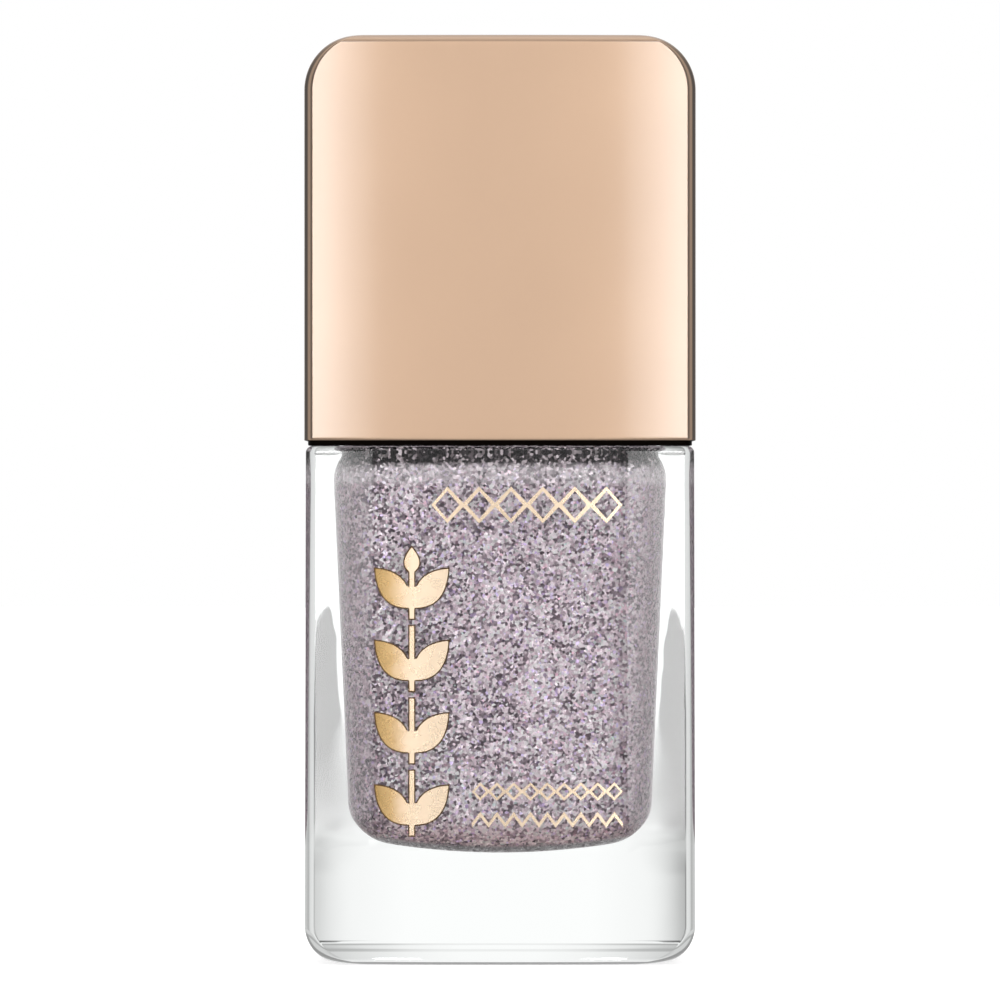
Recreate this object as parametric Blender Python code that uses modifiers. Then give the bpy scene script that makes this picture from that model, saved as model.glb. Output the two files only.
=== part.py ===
"""A nail polish bottle: a thick glass bottle with a bowed front, a pull-off gilt cap over a round
screw cap, and a brush that hangs from the screw cap into the lacquer.

Sizes are in millimetres. X is the bottle's width, Y its depth with the front at -Y, and Z is up.
The bottle stands on Z = 0 with its neck on the Z axis."""

import math

import bmesh
import bpy
from mathutils import Matrix, Vector

MM = 0.001

# Overall
TOTAL_HEIGHT = 76.0
CAP_WIDTH = 32.0
CAP_DEPTH = 20.6
HALF_SPAN = CAP_WIDTH / 2
BOW = 1.0  # how far the front and back faces fall back at their edges

# Glass, outside
GLASS_HALF_WIDTH_BASE = 15.97
GLASS_HALF_WIDTH_TOP = 15.88
GLASS_HALF_DEPTH = 10.15
GLASS_CORNER = 0.8
HEEL_RADIUS = 3.2
HEEL_DEPTH_RADIUS = 1.4
FOOT_INNER_INSET = 4.9
PUNT_RISE = 0.8
LEDGE_Z = 42.4
LEDGE_WIDTH = 1.5
LEDGE_EDGE_RADIUS = 0.5
DOME_TOP_Z = 46.8
NECK_FILLET = 0.5
NECK_RADIUS = 5.7
BORE_RADIUS = 3.6
LIP_Z = 57.2

# Glass, inside
FLOOR_Z = 9.1
FLOOR_ARC_RADIUS = 56.0
CAVITY_HALF_WIDTH_LOW = 12.1
CAVITY_HALF_WIDTH_HIGH = 13.25
CAVITY_HALF_DEPTH_LOW = 6.6
CAVITY_HALF_DEPTH_HIGH = 7.2
CAVITY_CORNER = 4.0
CAVITY_BOW = 0.8
CAVITY_FOOT_RADIUS = 3.4
CAVITY_WALL_LOW_Z = 13.4
CAVITY_WALL_HIGH_Z = 39.6
CAVITY_TOP_Z = 45.8

# Lacquer
LACQUER_GAP = 0.15
LACQUER_LEVEL_ANGLE = 50.0  # how far up the cavity's dome it reaches, in degrees
BRUSH_WELL_RADIUS = 2.2
BRUSH_WELL_FLOOR_Z = 14.0

# Mixing balls, which roll along the curved floor
BALL_RADIUS = 2.0
BALL_START_X = 2.2
BALL_REACH_X = 9.0
BALL_FLOOR_GAP = 0.1
BALL_TROUGH_RADIUS = 2.12

# Thread, a 13-415 neck finish
THREAD_PITCH = 2.117
THREAD_TURNS = 1.5
THREAD_START_Z = 52.0
NECK_CREST_RADIUS = 6.45
CAP_CREST_RADIUS = 6.55
THREAD_ROOT_WIDTH = 1.3
THREAD_CREST_WIDTH = 0.6
THREAD_SINK = 0.3

# Seal
SEAL_Z = (57.25, 58.15)
SEAL_RADII = (3.45, 5.6)

# Brush
FLANGE_Z = (58.2, 59.2)
FLANGE_RADIUS = 5.6
PLUG_RADIUS = 3.3
PLUG_Z = 55.0
ROD_RADIUS_TOP = 1.7
ROD_RADIUS_TIP = 1.45
ROD_TIP_Z = 30.5
STEM_BOSS_RADIUS = 2.4
STEM_BOSS_Z = 63.2
TUFT_HOLE_RADIUS = 1.05
TUFT_HOLE_Z = 35.0
BRISTLE_TIP_Z = 14.5
BRISTLE_ROOT_Z = 33.5
ANCHOR_SIZE = (1.9, 0.3, 1.0)
ANCHOR_Z = 34.1

# Screw cap
SCREW_CAP_Z = (48.0, 60.9)
SCREW_CAP_RADIUS = 7.7
RIB_RADIUS = 8.0
RIB_COUNT = 24
SCREW_CAP_BORE = 7.15
SCREW_CAP_CEILING_Z = 59.3
BOSS_RADIUS = 4.0
BOSS_TOP_Z = 64.4
BOSS_HOLE_RADIUS = 2.5
BOSS_HOLE_Z = 63.5

# Pull-off cap
CAP_BOTTOM_Z = 42.85
CAP_TOP_RADIUS = 4.5
CAP_EDGE = 0.65
CAP_WALL = 1.25
CAP_SKIRT_Z = 42.45
CAP_SKIRT_INSET = 0.3
CAP_CEILING_Z = 74.5

# Carrier inside the pull-off cap
CARRIER_GAP = 0.15
SLEEVE_RADII = (8.1, 8.75)
SLEEVE_Z = (47.8, 61.0)
CARRIER_PLATE = 1.2
CARRIER_HOLE_RADIUS = 4.2
WEB_THICKNESS = 1.0

# Gold foil on the front
FOIL_THICKNESS = 0.05
FOIL_GAP = 0.03
SPRIG_X = -7.2
SPRIG_Z = 10.5
SPRIG_PITCH = 5.9
SPRIG_LEAF_PAIRS = 4
UPPER_CHAIN = {"x": -5.6, "z": 37.6, "links": 6, "pitch": 2.6, "height": 3.0, "stroke": 0.24}
LOWER_CHAIN = {"x": -2.3, "z": 14.2, "links": 9, "pitch": 1.37, "height": 1.5, "stroke": 0.17}
ZIGZAG = {"x": -2.3, "z": 11.9, "links": 9, "pitch": 1.37, "height": 1.3, "stroke": 0.2}

# Label in the recess under the base
LABEL_SIZE = (18.0, 6.6)
LABEL_CORNER = 1.0
LABEL_Z = (0.65, 0.75)

# Faces
SIDE_STEPS = 3
CORNER_STEPS = 4
FRONT_STEPS = 5
QUARTER = SIDE_STEPS + CORNER_STEPS + FRONT_STEPS
TURNED_STEPS = 32


# ---------------------------------------------------------------- scene

def clear_scene():
    for obj in list(bpy.data.objects):
        bpy.data.objects.remove(obj, do_unlink=True)
    for collection in list(bpy.data.collections):
        bpy.data.collections.remove(collection)


clear_scene()
parts = bpy.data.collections.new("nail_polish_bottle")
cutters = bpy.data.collections.new("cutters")
cutters.hide_render = True
bpy.context.scene.collection.children.link(parts)
bpy.context.scene.collection.children.link(cutters)


def material(name, colour, metallic=0.0, roughness=0.4, transmission=0.0):
    made = bpy.data.materials.new(name)
    made.use_nodes = True
    shader = made.node_tree.nodes["Principled BSDF"]
    shader.inputs["Base Color"].default_value = (*colour, 1.0)
    shader.inputs["Metallic"].default_value = metallic
    shader.inputs["Roughness"].default_value = roughness
    shader.inputs["Transmission Weight"].default_value = transmission
    made.diffuse_color = (*colour, 1.0)
    return made


def add_object(name, mesh, collection):
    obj = bpy.data.objects.new(name, mesh)
    collection.objects.link(obj)
    return obj


def mesh_object(name, points, faces, collection):
    """An object from points in millimetres."""
    mesh = bpy.data.meshes.new(name)
    mesh.from_pydata([[c * MM for c in point] for point in points], [], faces)
    mesh.update()
    return add_object(name, mesh, collection)


def finish(obj, look):
    obj.data.materials.clear()
    obj.data.materials.append(look)
    obj.data.shade_smooth()
    obj.data.set_sharp_from_angle(angle=math.radians(32))
    return obj


def as_cutter(obj):
    obj.hide_render = True
    obj.display_type = "WIRE"
    return obj


def boolean(obj, operation, other):
    step = obj.modifiers.new(f"{operation.lower()}_{other.name}", "BOOLEAN")
    step.operation = operation
    step.solver = "EXACT"
    step.object = as_cutter(other)


# ---------------------------------------------------------------- shapes

def section(half_w, half_d, corner, z, bow=0.0, blend=0.0, radius=0.0, sag=0.0):
    """One closed ring: a rounded rectangle with bowed long sides, blended towards a circle. sag lifts
    its ends along X, to follow an arched floor."""
    quarter = []
    for i in range(QUARTER + 1):
        if i <= SIDE_STEPS:
            x = half_w
            y = (half_d - corner) * i / SIDE_STEPS
        elif i <= SIDE_STEPS + CORNER_STEPS:
            turn = 0.5 * math.pi * (i - SIDE_STEPS) / CORNER_STEPS
            x = half_w - corner + corner * math.cos(turn)
            y = half_d - corner + corner * math.sin(turn)
        else:
            x = (half_w - corner) * (QUARTER - i) / FRONT_STEPS
            y = half_d
        y *= 1 - bow * (x / HALF_SPAN) ** 2 / half_d
        angle = 0.5 * math.pi * i / QUARTER
        x += blend * (radius * math.cos(angle) - x)
        y += blend * (radius * math.sin(angle) - y)
        quarter.append((x, y))
    ring = []
    for turn in range(4):
        for i in range(QUARTER):
            x, y = quarter[i] if turn % 2 == 0 else quarter[QUARTER - i]
            x = -x if turn in (1, 2) else x
            y = -y if turn in (2, 3) else y
            ring.append((x, y, z + sag * x * x / (2 * FLOOR_ARC_RADIUS)))
    return ring


def circle(radius, z, count=4 * QUARTER):
    turns = [2 * math.pi * i / count for i in range(count)]
    return [(radius * math.cos(a), radius * math.sin(a), z) for a in turns]


def loft(name, rings, collection, start_tip=None, end_tip=None):
    """A closed body through the rings. Each end is a flat face, or a fan to a tip."""
    count = len(rings[0])
    points = [point for ring in rings for point in ring]
    faces = []
    for j in range(len(rings) - 1):
        low = j * count
        high = low + count
        for k in range(count):
            n = (k + 1) % count
            faces.append((low + k, low + n, high + n, high + k))
    last = (len(rings) - 1) * count
    if start_tip is None:
        faces.append(tuple(reversed(range(count))))
    else:
        tip = len(points)
        points.append(start_tip)
        faces += [((k + 1) % count, k, tip) for k in range(count)]
    if end_tip is None:
        faces.append(tuple(range(last, last + count)))
    else:
        tip = len(points)
        points.append(end_tip)
        faces += [(last + k, last + (k + 1) % count, tip) for k in range(count)]
    return mesh_object(name, points, faces, collection)


def turned(name, profile, collection, steps=TURNED_STEPS):
    """A body of revolution about Z. The profile runs from the axis at the top, down the outside, and
    back to the axis, or closes on itself when it never meets the axis."""
    mesh = bpy.data.meshes.new(name)
    points = [(r * MM, 0.0, z * MM) for r, z in profile]
    edges = [(i, i + 1) for i in range(len(points) - 1)]
    if profile[0][0] > 0:
        edges.append((len(points) - 1, 0))
    mesh.from_pydata(points, edges, [])
    obj = add_object(name, mesh, collection)
    screw = obj.modifiers.new("turn", "SCREW")
    screw.axis = "Z"
    screw.angle = 2 * math.pi
    screw.steps = steps
    screw.render_steps = steps
    screw.use_merge_vertices = True
    screw.merge_threshold = 0.00001
    return obj


def outline_mesh(name, loops, thickness):
    """A flat plate from closed outlines in XY, those inside another being holes. It is centred on Z = 0."""
    curve = bpy.data.curves.new(name, "CURVE")
    curve.dimensions = "2D"
    curve.fill_mode = "BOTH"
    curve.extrude = 0.5 * thickness * MM
    for loop in loops:
        spline = curve.splines.new("POLY")
        spline.points.add(len(loop) - 1)
        for point, (x, y) in zip(spline.points, loop):
            point.co = (x * MM, y * MM, 0.0, 1.0)
        spline.use_cyclic_u = True
    drawn = bpy.data.objects.new(name + "_outline", curve)
    bpy.context.scene.collection.objects.link(drawn)
    graph = bpy.context.evaluated_depsgraph_get()
    mesh = bpy.data.meshes.new_from_object(drawn.evaluated_get(graph))
    bpy.data.objects.remove(drawn)
    work = bmesh.new()
    work.from_mesh(mesh)
    bmesh.ops.remove_doubles(work, verts=work.verts, dist=1e-7)
    bmesh.ops.recalc_face_normals(work, faces=work.faces)
    work.to_mesh(mesh)
    work.free()
    mesh.name = name
    return mesh


def plate(name, loops, z_low, z_high, collection):
    mesh = outline_mesh(name, loops, z_high - z_low)
    mesh.transform(Matrix.Translation((0.0, 0.0, 0.5 * (z_low + z_high) * MM)))
    return add_object(name, mesh, collection)


def box(name, size, centre, collection):
    mesh = bpy.data.meshes.new(name)
    work = bmesh.new()
    bmesh.ops.create_cube(work, size=1.0)
    bmesh.ops.scale(work, verts=work.verts, vec=Vector(size) * MM)
    bmesh.ops.translate(work, verts=work.verts, vec=Vector(centre) * MM)
    work.to_mesh(mesh)
    work.free()
    return add_object(name, mesh, collection)


def helix_ridge(name, root, crest, z_start, collection, steps=24):
    """A thread ridge that runs out at both ends. root and crest are radii, root sunk into the wall."""
    total = round(steps * THREAD_TURNS)
    fade = steps // 6
    points = []
    for i in range(total + 1):
        angle = 2 * math.pi * i / steps
        z = z_start + THREAD_PITCH * i / steps
        full = min(1.0, 0.12 + 0.88 * min(i, total - i) / fade)
        top = root + (crest - root) * full
        for radius, half in (
            (root, 0.5 * THREAD_ROOT_WIDTH * (0.6 + 0.4 * full)),
            (top, 0.5 * THREAD_CREST_WIDTH * full),
        ):
            for side in (-half, half):
                points.append((radius * math.cos(angle), radius * math.sin(angle), z + side))
    faces = []
    for i in range(total):
        a = 4 * i
        b = a + 4
        for p, q in ((0, 1), (1, 3), (3, 2), (2, 0)):
            faces.append((a + p, a + q, b + q, b + p))
    faces.append((2, 3, 1, 0))
    end = 4 * total
    faces.append((end, end + 1, end + 3, end + 2))
    ridge = mesh_object(name, points, faces, collection)
    work = bmesh.new()
    work.from_mesh(ridge.data)
    bmesh.ops.recalc_face_normals(work, faces=work.faces)
    work.to_mesh(ridge.data)
    work.free()
    return ridge


def between(low, high, share):
    return low + (high - low) * share


# ---------------------------------------------------------------- glass and lacquer

def cavity_rings(gap, dome_angle):
    """The cavity's wall from near the middle of its floor up to an angle on its dome, drawn in by gap."""
    low_w = CAVITY_HALF_WIDTH_LOW - gap
    low_d = CAVITY_HALF_DEPTH_LOW - gap
    foot = CAVITY_FOOT_RADIUS
    corner = CAVITY_CORNER
    floor = FLOOR_Z + gap
    rings = []
    for share in (0.3, 0.6, 0.85):
        half_w = (low_w - foot) * share
        half_d = (low_d - foot) * share
        rings.append(section(half_w, half_d, 1.2 * share, floor, CAVITY_BOW * share, sag=1))
    for step in range(6):
        turn = math.radians(18 * step)
        drawn_in = foot * (1 - math.sin(turn))
        rise = foot * (1 - math.cos(turn))
        soft = between(1.4, corner, math.sin(turn))
        half_w = low_w - drawn_in
        half_d = low_d - drawn_in
        rings.append(section(half_w, half_d, soft, floor + rise, CAVITY_BOW, sag=1 - step / 10))
    for share in (0.06, 0.25, 0.5, 0.75, 1.0):
        z = between(CAVITY_WALL_LOW_Z, CAVITY_WALL_HIGH_Z, share)
        half_w = between(low_w, CAVITY_HALF_WIDTH_HIGH - gap, share)
        half_d = between(low_d, CAVITY_HALF_DEPTH_HIGH - gap, share)
        rings.append(section(half_w, half_d, corner, z, CAVITY_BOW))
    steps = round(dome_angle / 10)
    for step in range(1, steps + 1):
        turn = math.radians(dome_angle * step / steps)
        reach = math.cos(turn)
        half_w = BORE_RADIUS + (CAVITY_HALF_WIDTH_HIGH - BORE_RADIUS) * reach - gap
        half_d = BORE_RADIUS + (CAVITY_HALF_DEPTH_HIGH - BORE_RADIUS) * reach - gap
        z = CAVITY_WALL_HIGH_Z + (CAVITY_TOP_Z - CAVITY_WALL_HIGH_Z) * math.sin(turn)
        rounded = math.sin(turn) ** 3
        soft = min(corner, half_d - 0.2)
        round_r = between(0.5 * (half_w + half_d), BORE_RADIUS - gap, rounded)
        rings.append(section(half_w, half_d, soft, z, CAVITY_BOW * reach, rounded, round_r))
    return rings


def heel_inset(z):
    """How far the heel draws in the front and back at a height."""
    above = max(0.0, HEEL_DEPTH_RADIUS - z)
    return HEEL_DEPTH_RADIUS - math.sqrt(HEEL_DEPTH_RADIUS**2 - above**2)


def glass_rings():
    rings = []
    base = (GLASS_HALF_WIDTH_BASE, GLASS_HALF_DEPTH)
    for out, share in ((1.1, 1.0), (0.5, 0.78), (0.15, 0.35), (0.0, 0.0)):
        inset = FOOT_INNER_INSET + out
        rings.append(section(base[0] - inset, base[1] - inset, 1.6, share * PUNT_RISE, BOW))
    for step in range(7):
        turn = math.radians(15 * step)
        inset = HEEL_RADIUS * (1 - math.sin(turn))
        corner = between(2.6, GLASS_CORNER, math.sin(turn))
        z = HEEL_RADIUS * (1 - math.cos(turn))
        rings.append(section(base[0] - inset, base[1] - heel_inset(z), corner, z, BOW))
    wall_top = LEDGE_Z - LEDGE_EDGE_RADIUS
    for share in (0.33, 0.67, 1.0):
        half_w = between(GLASS_HALF_WIDTH_BASE, GLASS_HALF_WIDTH_TOP, share)
        z = between(HEEL_RADIUS, wall_top, share)
        rings.append(section(half_w, GLASS_HALF_DEPTH, GLASS_CORNER, z, BOW))
    for degrees in (30, 60, 90):
        turn = math.radians(degrees)
        inset = LEDGE_EDGE_RADIUS * (1 - math.cos(turn))
        z = wall_top + LEDGE_EDGE_RADIUS * math.sin(turn)
        half_w = GLASS_HALF_WIDTH_TOP - inset
        rings.append(section(half_w, GLASS_HALF_DEPTH - inset, GLASS_CORNER, z, BOW))
    dome_w = GLASS_HALF_WIDTH_TOP - LEDGE_WIDTH
    dome_d = GLASS_HALF_DEPTH - LEDGE_WIDTH
    neck_foot = NECK_RADIUS + NECK_FILLET
    for degrees in (0, 12, 26, 40, 54, 66, 78, 90):
        turn = math.radians(degrees)
        reach = math.cos(turn)
        half_w = between(neck_foot, dome_w, reach)
        half_d = between(neck_foot, dome_d, reach)
        z = between(LEDGE_Z, DOME_TOP_Z, math.sin(turn))
        rounded = math.sin(turn) ** 3
        round_r = between(0.5 * (half_w + half_d), neck_foot, rounded)
        corner = between(GLASS_CORNER + 0.8, 5.0, math.sin(turn) ** 2)
        rings.append(section(half_w, half_d, corner, z, BOW * reach, rounded, round_r))
    for radius, z in (
        (NECK_RADIUS + 0.15, DOME_TOP_Z + 0.15),
        (NECK_RADIUS, DOME_TOP_Z + NECK_FILLET),
        (NECK_RADIUS, LIP_Z - 0.4),
        (NECK_RADIUS - 0.12, LIP_Z - 0.12),
        (NECK_RADIUS - 0.4, LIP_Z),
        (BORE_RADIUS + 0.3, LIP_Z),
        (BORE_RADIUS + 0.08, LIP_Z - 0.1),
        (BORE_RADIUS, LIP_Z - 0.35),
        (BORE_RADIUS, 51.0),
        (BORE_RADIUS, CAVITY_TOP_Z + 0.5),
    ):
        rings.append(circle(radius, z))
    rings += reversed(cavity_rings(0.0, 90.0))
    return rings


glass_look = material("glass", (0.93, 0.97, 0.95), roughness=0.02, transmission=1.0)
glass_bottle = loft("glass_bottle", glass_rings(), parts, end_tip=(0.0, 0.0, FLOOR_Z))
neck_thread = helix_ridge(
    "neck_thread",
    NECK_RADIUS - THREAD_SINK,
    NECK_CREST_RADIUS,
    THREAD_START_Z,
    cutters,
)
boolean(glass_bottle, "UNION", neck_thread)
finish(glass_bottle, glass_look)

lacquer_look = material("lacquer", (0.43, 0.35, 0.40), metallic=0.4, roughness=0.3)
lacquer_rings = cavity_rings(LACQUER_GAP, LACQUER_LEVEL_ANGLE)
lacquer = loft("lacquer", lacquer_rings, parts, start_tip=(0.0, 0.0, FLOOR_Z + LACQUER_GAP))
WELL_TOP_Z = 50.0
brush_well = turned(
    "brush_well",
    [
        (0, WELL_TOP_Z),
        (BRUSH_WELL_RADIUS, WELL_TOP_Z),
        (BRUSH_WELL_RADIUS, BRUSH_WELL_FLOOR_Z + 0.6),
        (BRUSH_WELL_RADIUS - 0.6, BRUSH_WELL_FLOOR_Z),
        (0, BRUSH_WELL_FLOOR_Z),
    ],
    cutters,
    24,
)

# Each ball's centre travels on an arc about a point above the floor's middle.
ROLL_CENTRE_Z = FLOOR_Z + FLOOR_ARC_RADIUS
ROLL_RADIUS = FLOOR_ARC_RADIUS - BALL_RADIUS - BALL_FLOOR_GAP


def ball_path_z(x):
    return ROLL_CENTRE_Z - math.sqrt(ROLL_RADIUS**2 - x * x)


def trough_rings(reach, radius, count=16):
    """Rings of a round channel along the balls' path, closed by a rounded end on each side."""
    stations = []
    for step in range(1, 5):
        turn = math.radians(22.5 * step)
        stations.append((-reach - radius * math.cos(turn), radius * math.sin(turn)))
    stations += [(reach * share, radius) for share in (-0.5, 0.0, 0.5, 1.0)]
    for step in range(1, 4):
        turn = math.radians(22.5 * step)
        stations.append((reach + radius * math.sin(turn), radius * math.cos(turn)))
    rings = []
    for x, size in stations:
        z = ball_path_z(min(max(x, -reach), reach))
        turns = [2 * math.pi * i / count for i in range(count)]
        rings.append([(x, size * math.cos(a), z + size * math.sin(a)) for a in turns])
    return rings


ball_trough = loft("ball_trough", trough_rings(BALL_REACH_X, BALL_TROUGH_RADIUS), cutters)
boolean(lacquer, "DIFFERENCE", brush_well)
boolean(lacquer, "DIFFERENCE", ball_trough)
finish(lacquer, lacquer_look)


def mixing_ball(name, x, look):
    mesh = bpy.data.meshes.new(name)
    work = bmesh.new()
    bmesh.ops.create_icosphere(work, subdivisions=3, radius=BALL_RADIUS * MM)
    bmesh.ops.translate(work, verts=work.verts, vec=Vector((x, 0.0, ball_path_z(x))) * MM)
    work.to_mesh(mesh)
    work.free()
    ball = add_object(name, mesh, parts)
    return finish(ball, look)


steel_look = material("steel", (0.62, 0.62, 0.64), metallic=1.0, roughness=0.15)
mixing_ball_left = mixing_ball("mixing_ball_left", -BALL_START_X, steel_look)
mixing_ball_right = mixing_ball("mixing_ball_right", BALL_START_X, steel_look.copy())


# ---------------------------------------------------------------- foil on the front, and the label

def bent_to_front(name, loops, x_offset, z_offset):
    """A plate drawn flat, then bent round the front of the glass. Its back lies just off the glass."""
    mesh = outline_mesh(name, loops, FOIL_THICKNESS)
    work = bmesh.new()
    work.from_mesh(mesh)
    left = min(v.co.x for v in work.verts) / MM
    right = max(v.co.x for v in work.verts) / MM
    for cut in range(math.ceil(left + 0.05), math.ceil(right - 0.05)):
        everything = work.verts[:] + work.edges[:] + work.faces[:]
        where = (cut * MM, 0, 0)
        bmesh.ops.bisect_plane(work, geom=everything, dist=1e-7, plane_co=where, plane_no=(1, 0, 0))
    for vert in work.verts:
        x = vert.co.x / MM + x_offset
        z = vert.co.y / MM + z_offset
        front = GLASS_HALF_DEPTH - BOW * (x / HALF_SPAN) ** 2
        out = front + FOIL_GAP + 0.5 * FOIL_THICKNESS + vert.co.z / MM
        vert.co = Vector((x, -out, z)) * MM
    bmesh.ops.triangulate(work, faces=work.faces)
    bmesh.ops.recalc_face_normals(work, faces=work.faces)
    work.to_mesh(mesh)
    work.free()
    return add_object(name, mesh, parts)


def bezier(start, control, end, steps):
    points = []
    for i in range(steps + 1):
        t = i / steps
        x = (1 - t) ** 2 * start[0] + 2 * t * (1 - t) * control[0] + t * t * end[0]
        y = (1 - t) ** 2 * start[1] + 2 * t * (1 - t) * control[1] + t * t * end[1]
        points.append((x, y))
    return points


def leaf_pair(top_bud):
    """A short stalk with a leaf on each side, and a bud on the last one."""
    stalk = 0.3
    right = [(stalk, 0.0)]
    right += bezier((stalk, 0.9), (2.95, 0.9), (3.1, 4.3), 8)
    right += bezier((3.1, 4.3), (0.95, 4.2), (stalk, 2.75), 7)[1:]
    if top_bud:
        right += bezier((stalk, 3.9), (1.25, 4.7), (0.0, 6.1), 6)
        left = [(-x, y) for x, y in reversed(right[:-1])]
    else:
        right.append((stalk, 5.5))
        left = [(-x, y) for x, y in reversed(right)]
    return [right + left]


def lozenge_chain(links, pitch, height, stroke, **_):
    """Open lozenges joined side to side."""
    half = 0.5 * height
    neck = 0.7 * stroke
    top = [(0.0, 0.0)]
    for i in range(links):
        top.append(((i + 0.5) * pitch, half))
        if i < links - 1:
            top.append(((i + 1) * pitch, neck))
    top.append((links * pitch, 0.0))
    bottom = [(x, -y) for x, y in reversed(top[1:-1])]
    slant = math.hypot(0.5 * pitch, half)
    inner_w = 0.5 * pitch - stroke * slant / half
    inner_h = half - stroke * slant / (0.5 * pitch)
    loops = [top + bottom]
    for i in range(links):
        x = (i + 0.5) * pitch
        loops.append([(x - inner_w, 0.0), (x, inner_h), (x + inner_w, 0.0), (x, -inner_h)])
    return loops


def zigzag(links, pitch, height, stroke, **_):
    """A band that runs up and down."""
    half = 0.5 * height - stroke
    line = [(0.5 * i * pitch, half if i % 2 else -half) for i in range(2 * links + 1)]
    upper = [(x, y + stroke) for x, y in line]
    lower = [(x, y - stroke) for x, y in reversed(line)]
    return [upper + lower]


foil_look = material("gold_foil", (0.80, 0.55, 0.27), metallic=1.0, roughness=0.22)
foils = []
for number in range(SPRIG_LEAF_PAIRS):
    drawn = leaf_pair(top_bud=number == SPRIG_LEAF_PAIRS - 1)
    z = SPRIG_Z + number * SPRIG_PITCH
    foils.append(bent_to_front(f"foil_leaf_pair_{number + 1}", drawn, SPRIG_X, z))
for name, band, draw in (
    ("foil_upper_chain", UPPER_CHAIN, lozenge_chain),
    ("foil_lower_chain", LOWER_CHAIN, lozenge_chain),
    ("foil_lower_zigzag", ZIGZAG, zigzag),
):
    foils.append(bent_to_front(name, draw(**band), band["x"], band["z"]))
for foil in foils:
    finish(foil, foil_look.copy())


def rounded_rectangle(width, height, corner, steps=5):
    loop = []
    for quarter, (side_x, side_y) in enumerate(((1, 1), (-1, 1), (-1, -1), (1, -1))):
        centre_x = side_x * (0.5 * width - corner)
        centre_y = side_y * (0.5 * height - corner)
        for step in range(steps + 1):
            a = 0.5 * math.pi * (quarter + step / steps)
            loop.append((centre_x + corner * math.cos(a), centre_y + corner * math.sin(a)))
    return loop


base_label = plate("base_label", [rounded_rectangle(*LABEL_SIZE, LABEL_CORNER)], *LABEL_Z, parts)
finish(base_label, material("label", (0.86, 0.85, 0.83), roughness=0.6))


# ---------------------------------------------------------------- seal and brush

seal_inner, seal_outer = SEAL_RADII
seal_low, seal_high = SEAL_Z
seal_ring = turned(
    "seal_ring",
    [(seal_inner, seal_high), (seal_outer, seal_high), (seal_outer, seal_low), (seal_inner, seal_low)],
    parts,
)
finish(seal_ring, material("seal", (0.82, 0.82, 0.80), roughness=0.8))

brush_stem = turned(
    "brush_stem",
    [
        (0, STEM_BOSS_Z),
        (STEM_BOSS_RADIUS - 0.4, STEM_BOSS_Z),
        (STEM_BOSS_RADIUS, STEM_BOSS_Z - 0.4),
        (STEM_BOSS_RADIUS, FLANGE_Z[1]),
        (FLANGE_RADIUS, FLANGE_Z[1]),
        (FLANGE_RADIUS, FLANGE_Z[0]),
        (PLUG_RADIUS, FLANGE_Z[0]),
        (PLUG_RADIUS, PLUG_Z + 0.5),
        (PLUG_RADIUS - 0.5, PLUG_Z),
        (ROD_RADIUS_TOP + 0.3, PLUG_Z),
        (ROD_RADIUS_TOP, PLUG_Z - 0.6),
        (ROD_RADIUS_TIP, ROD_TIP_Z + 0.3),
        (ROD_RADIUS_TIP - 0.15, ROD_TIP_Z),
        (TUFT_HOLE_RADIUS, ROD_TIP_Z),
        (TUFT_HOLE_RADIUS, TUFT_HOLE_Z),
        (0, TUFT_HOLE_Z),
    ],
    parts,
)
finish(brush_stem, material("stem", (0.80, 0.79, 0.77), roughness=0.35))

tuft_anchor = box("tuft_anchor", ANCHOR_SIZE, (0, 0, ANCHOR_Z), parts)
finish(tuft_anchor, material("anchor", (0.75, 0.60, 0.32), metallic=1.0, roughness=0.3))


def tuft_ring(half_w, half_d, z, count=24):
    turns = [2 * math.pi * i / count for i in range(count)]
    return [(half_w * math.cos(a), half_d * math.sin(a), z) for a in turns]


bristle_rings = [
    tuft_ring(0.5, 0.4, BRISTLE_TIP_Z),
    tuft_ring(1.05, 0.72, BRISTLE_TIP_Z + 0.5),
    tuft_ring(1.4, 0.9, BRISTLE_TIP_Z + 1.4),
    tuft_ring(1.62, 1.02, BRISTLE_TIP_Z + 3.0),
    tuft_ring(1.66, 1.1, BRISTLE_TIP_Z + 5.5),
    tuft_ring(1.45, 1.1, BRISTLE_TIP_Z + 9.5),
    tuft_ring(1.12, 1.02, ROD_TIP_Z - 2.2),
    tuft_ring(0.96, 0.96, ROD_TIP_Z - 0.1),
    tuft_ring(0.95, 0.95, BRISTLE_ROOT_Z),
]
bristle_tuft = loft("bristle_tuft", bristle_rings, parts)
finish(bristle_tuft, material("bristle", (0.06, 0.055, 0.05), roughness=0.5))


# ---------------------------------------------------------------- screw cap

def ribbed_ring(valley, crest, z):
    """Four points per rib: two in the valley and two on the crest."""
    ring = []
    for i in range(4 * RIB_COUNT):
        angle = 2 * math.pi * (i + (0.15 if i % 2 else -0.15)) / (4 * RIB_COUNT)
        radius = crest if i % 4 in (1, 2) else valley
        ring.append((radius * math.cos(angle), radius * math.sin(angle), z))
    return ring


def screw_cap_circle(radius, z):
    return circle(radius, z, 4 * RIB_COUNT)


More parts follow.
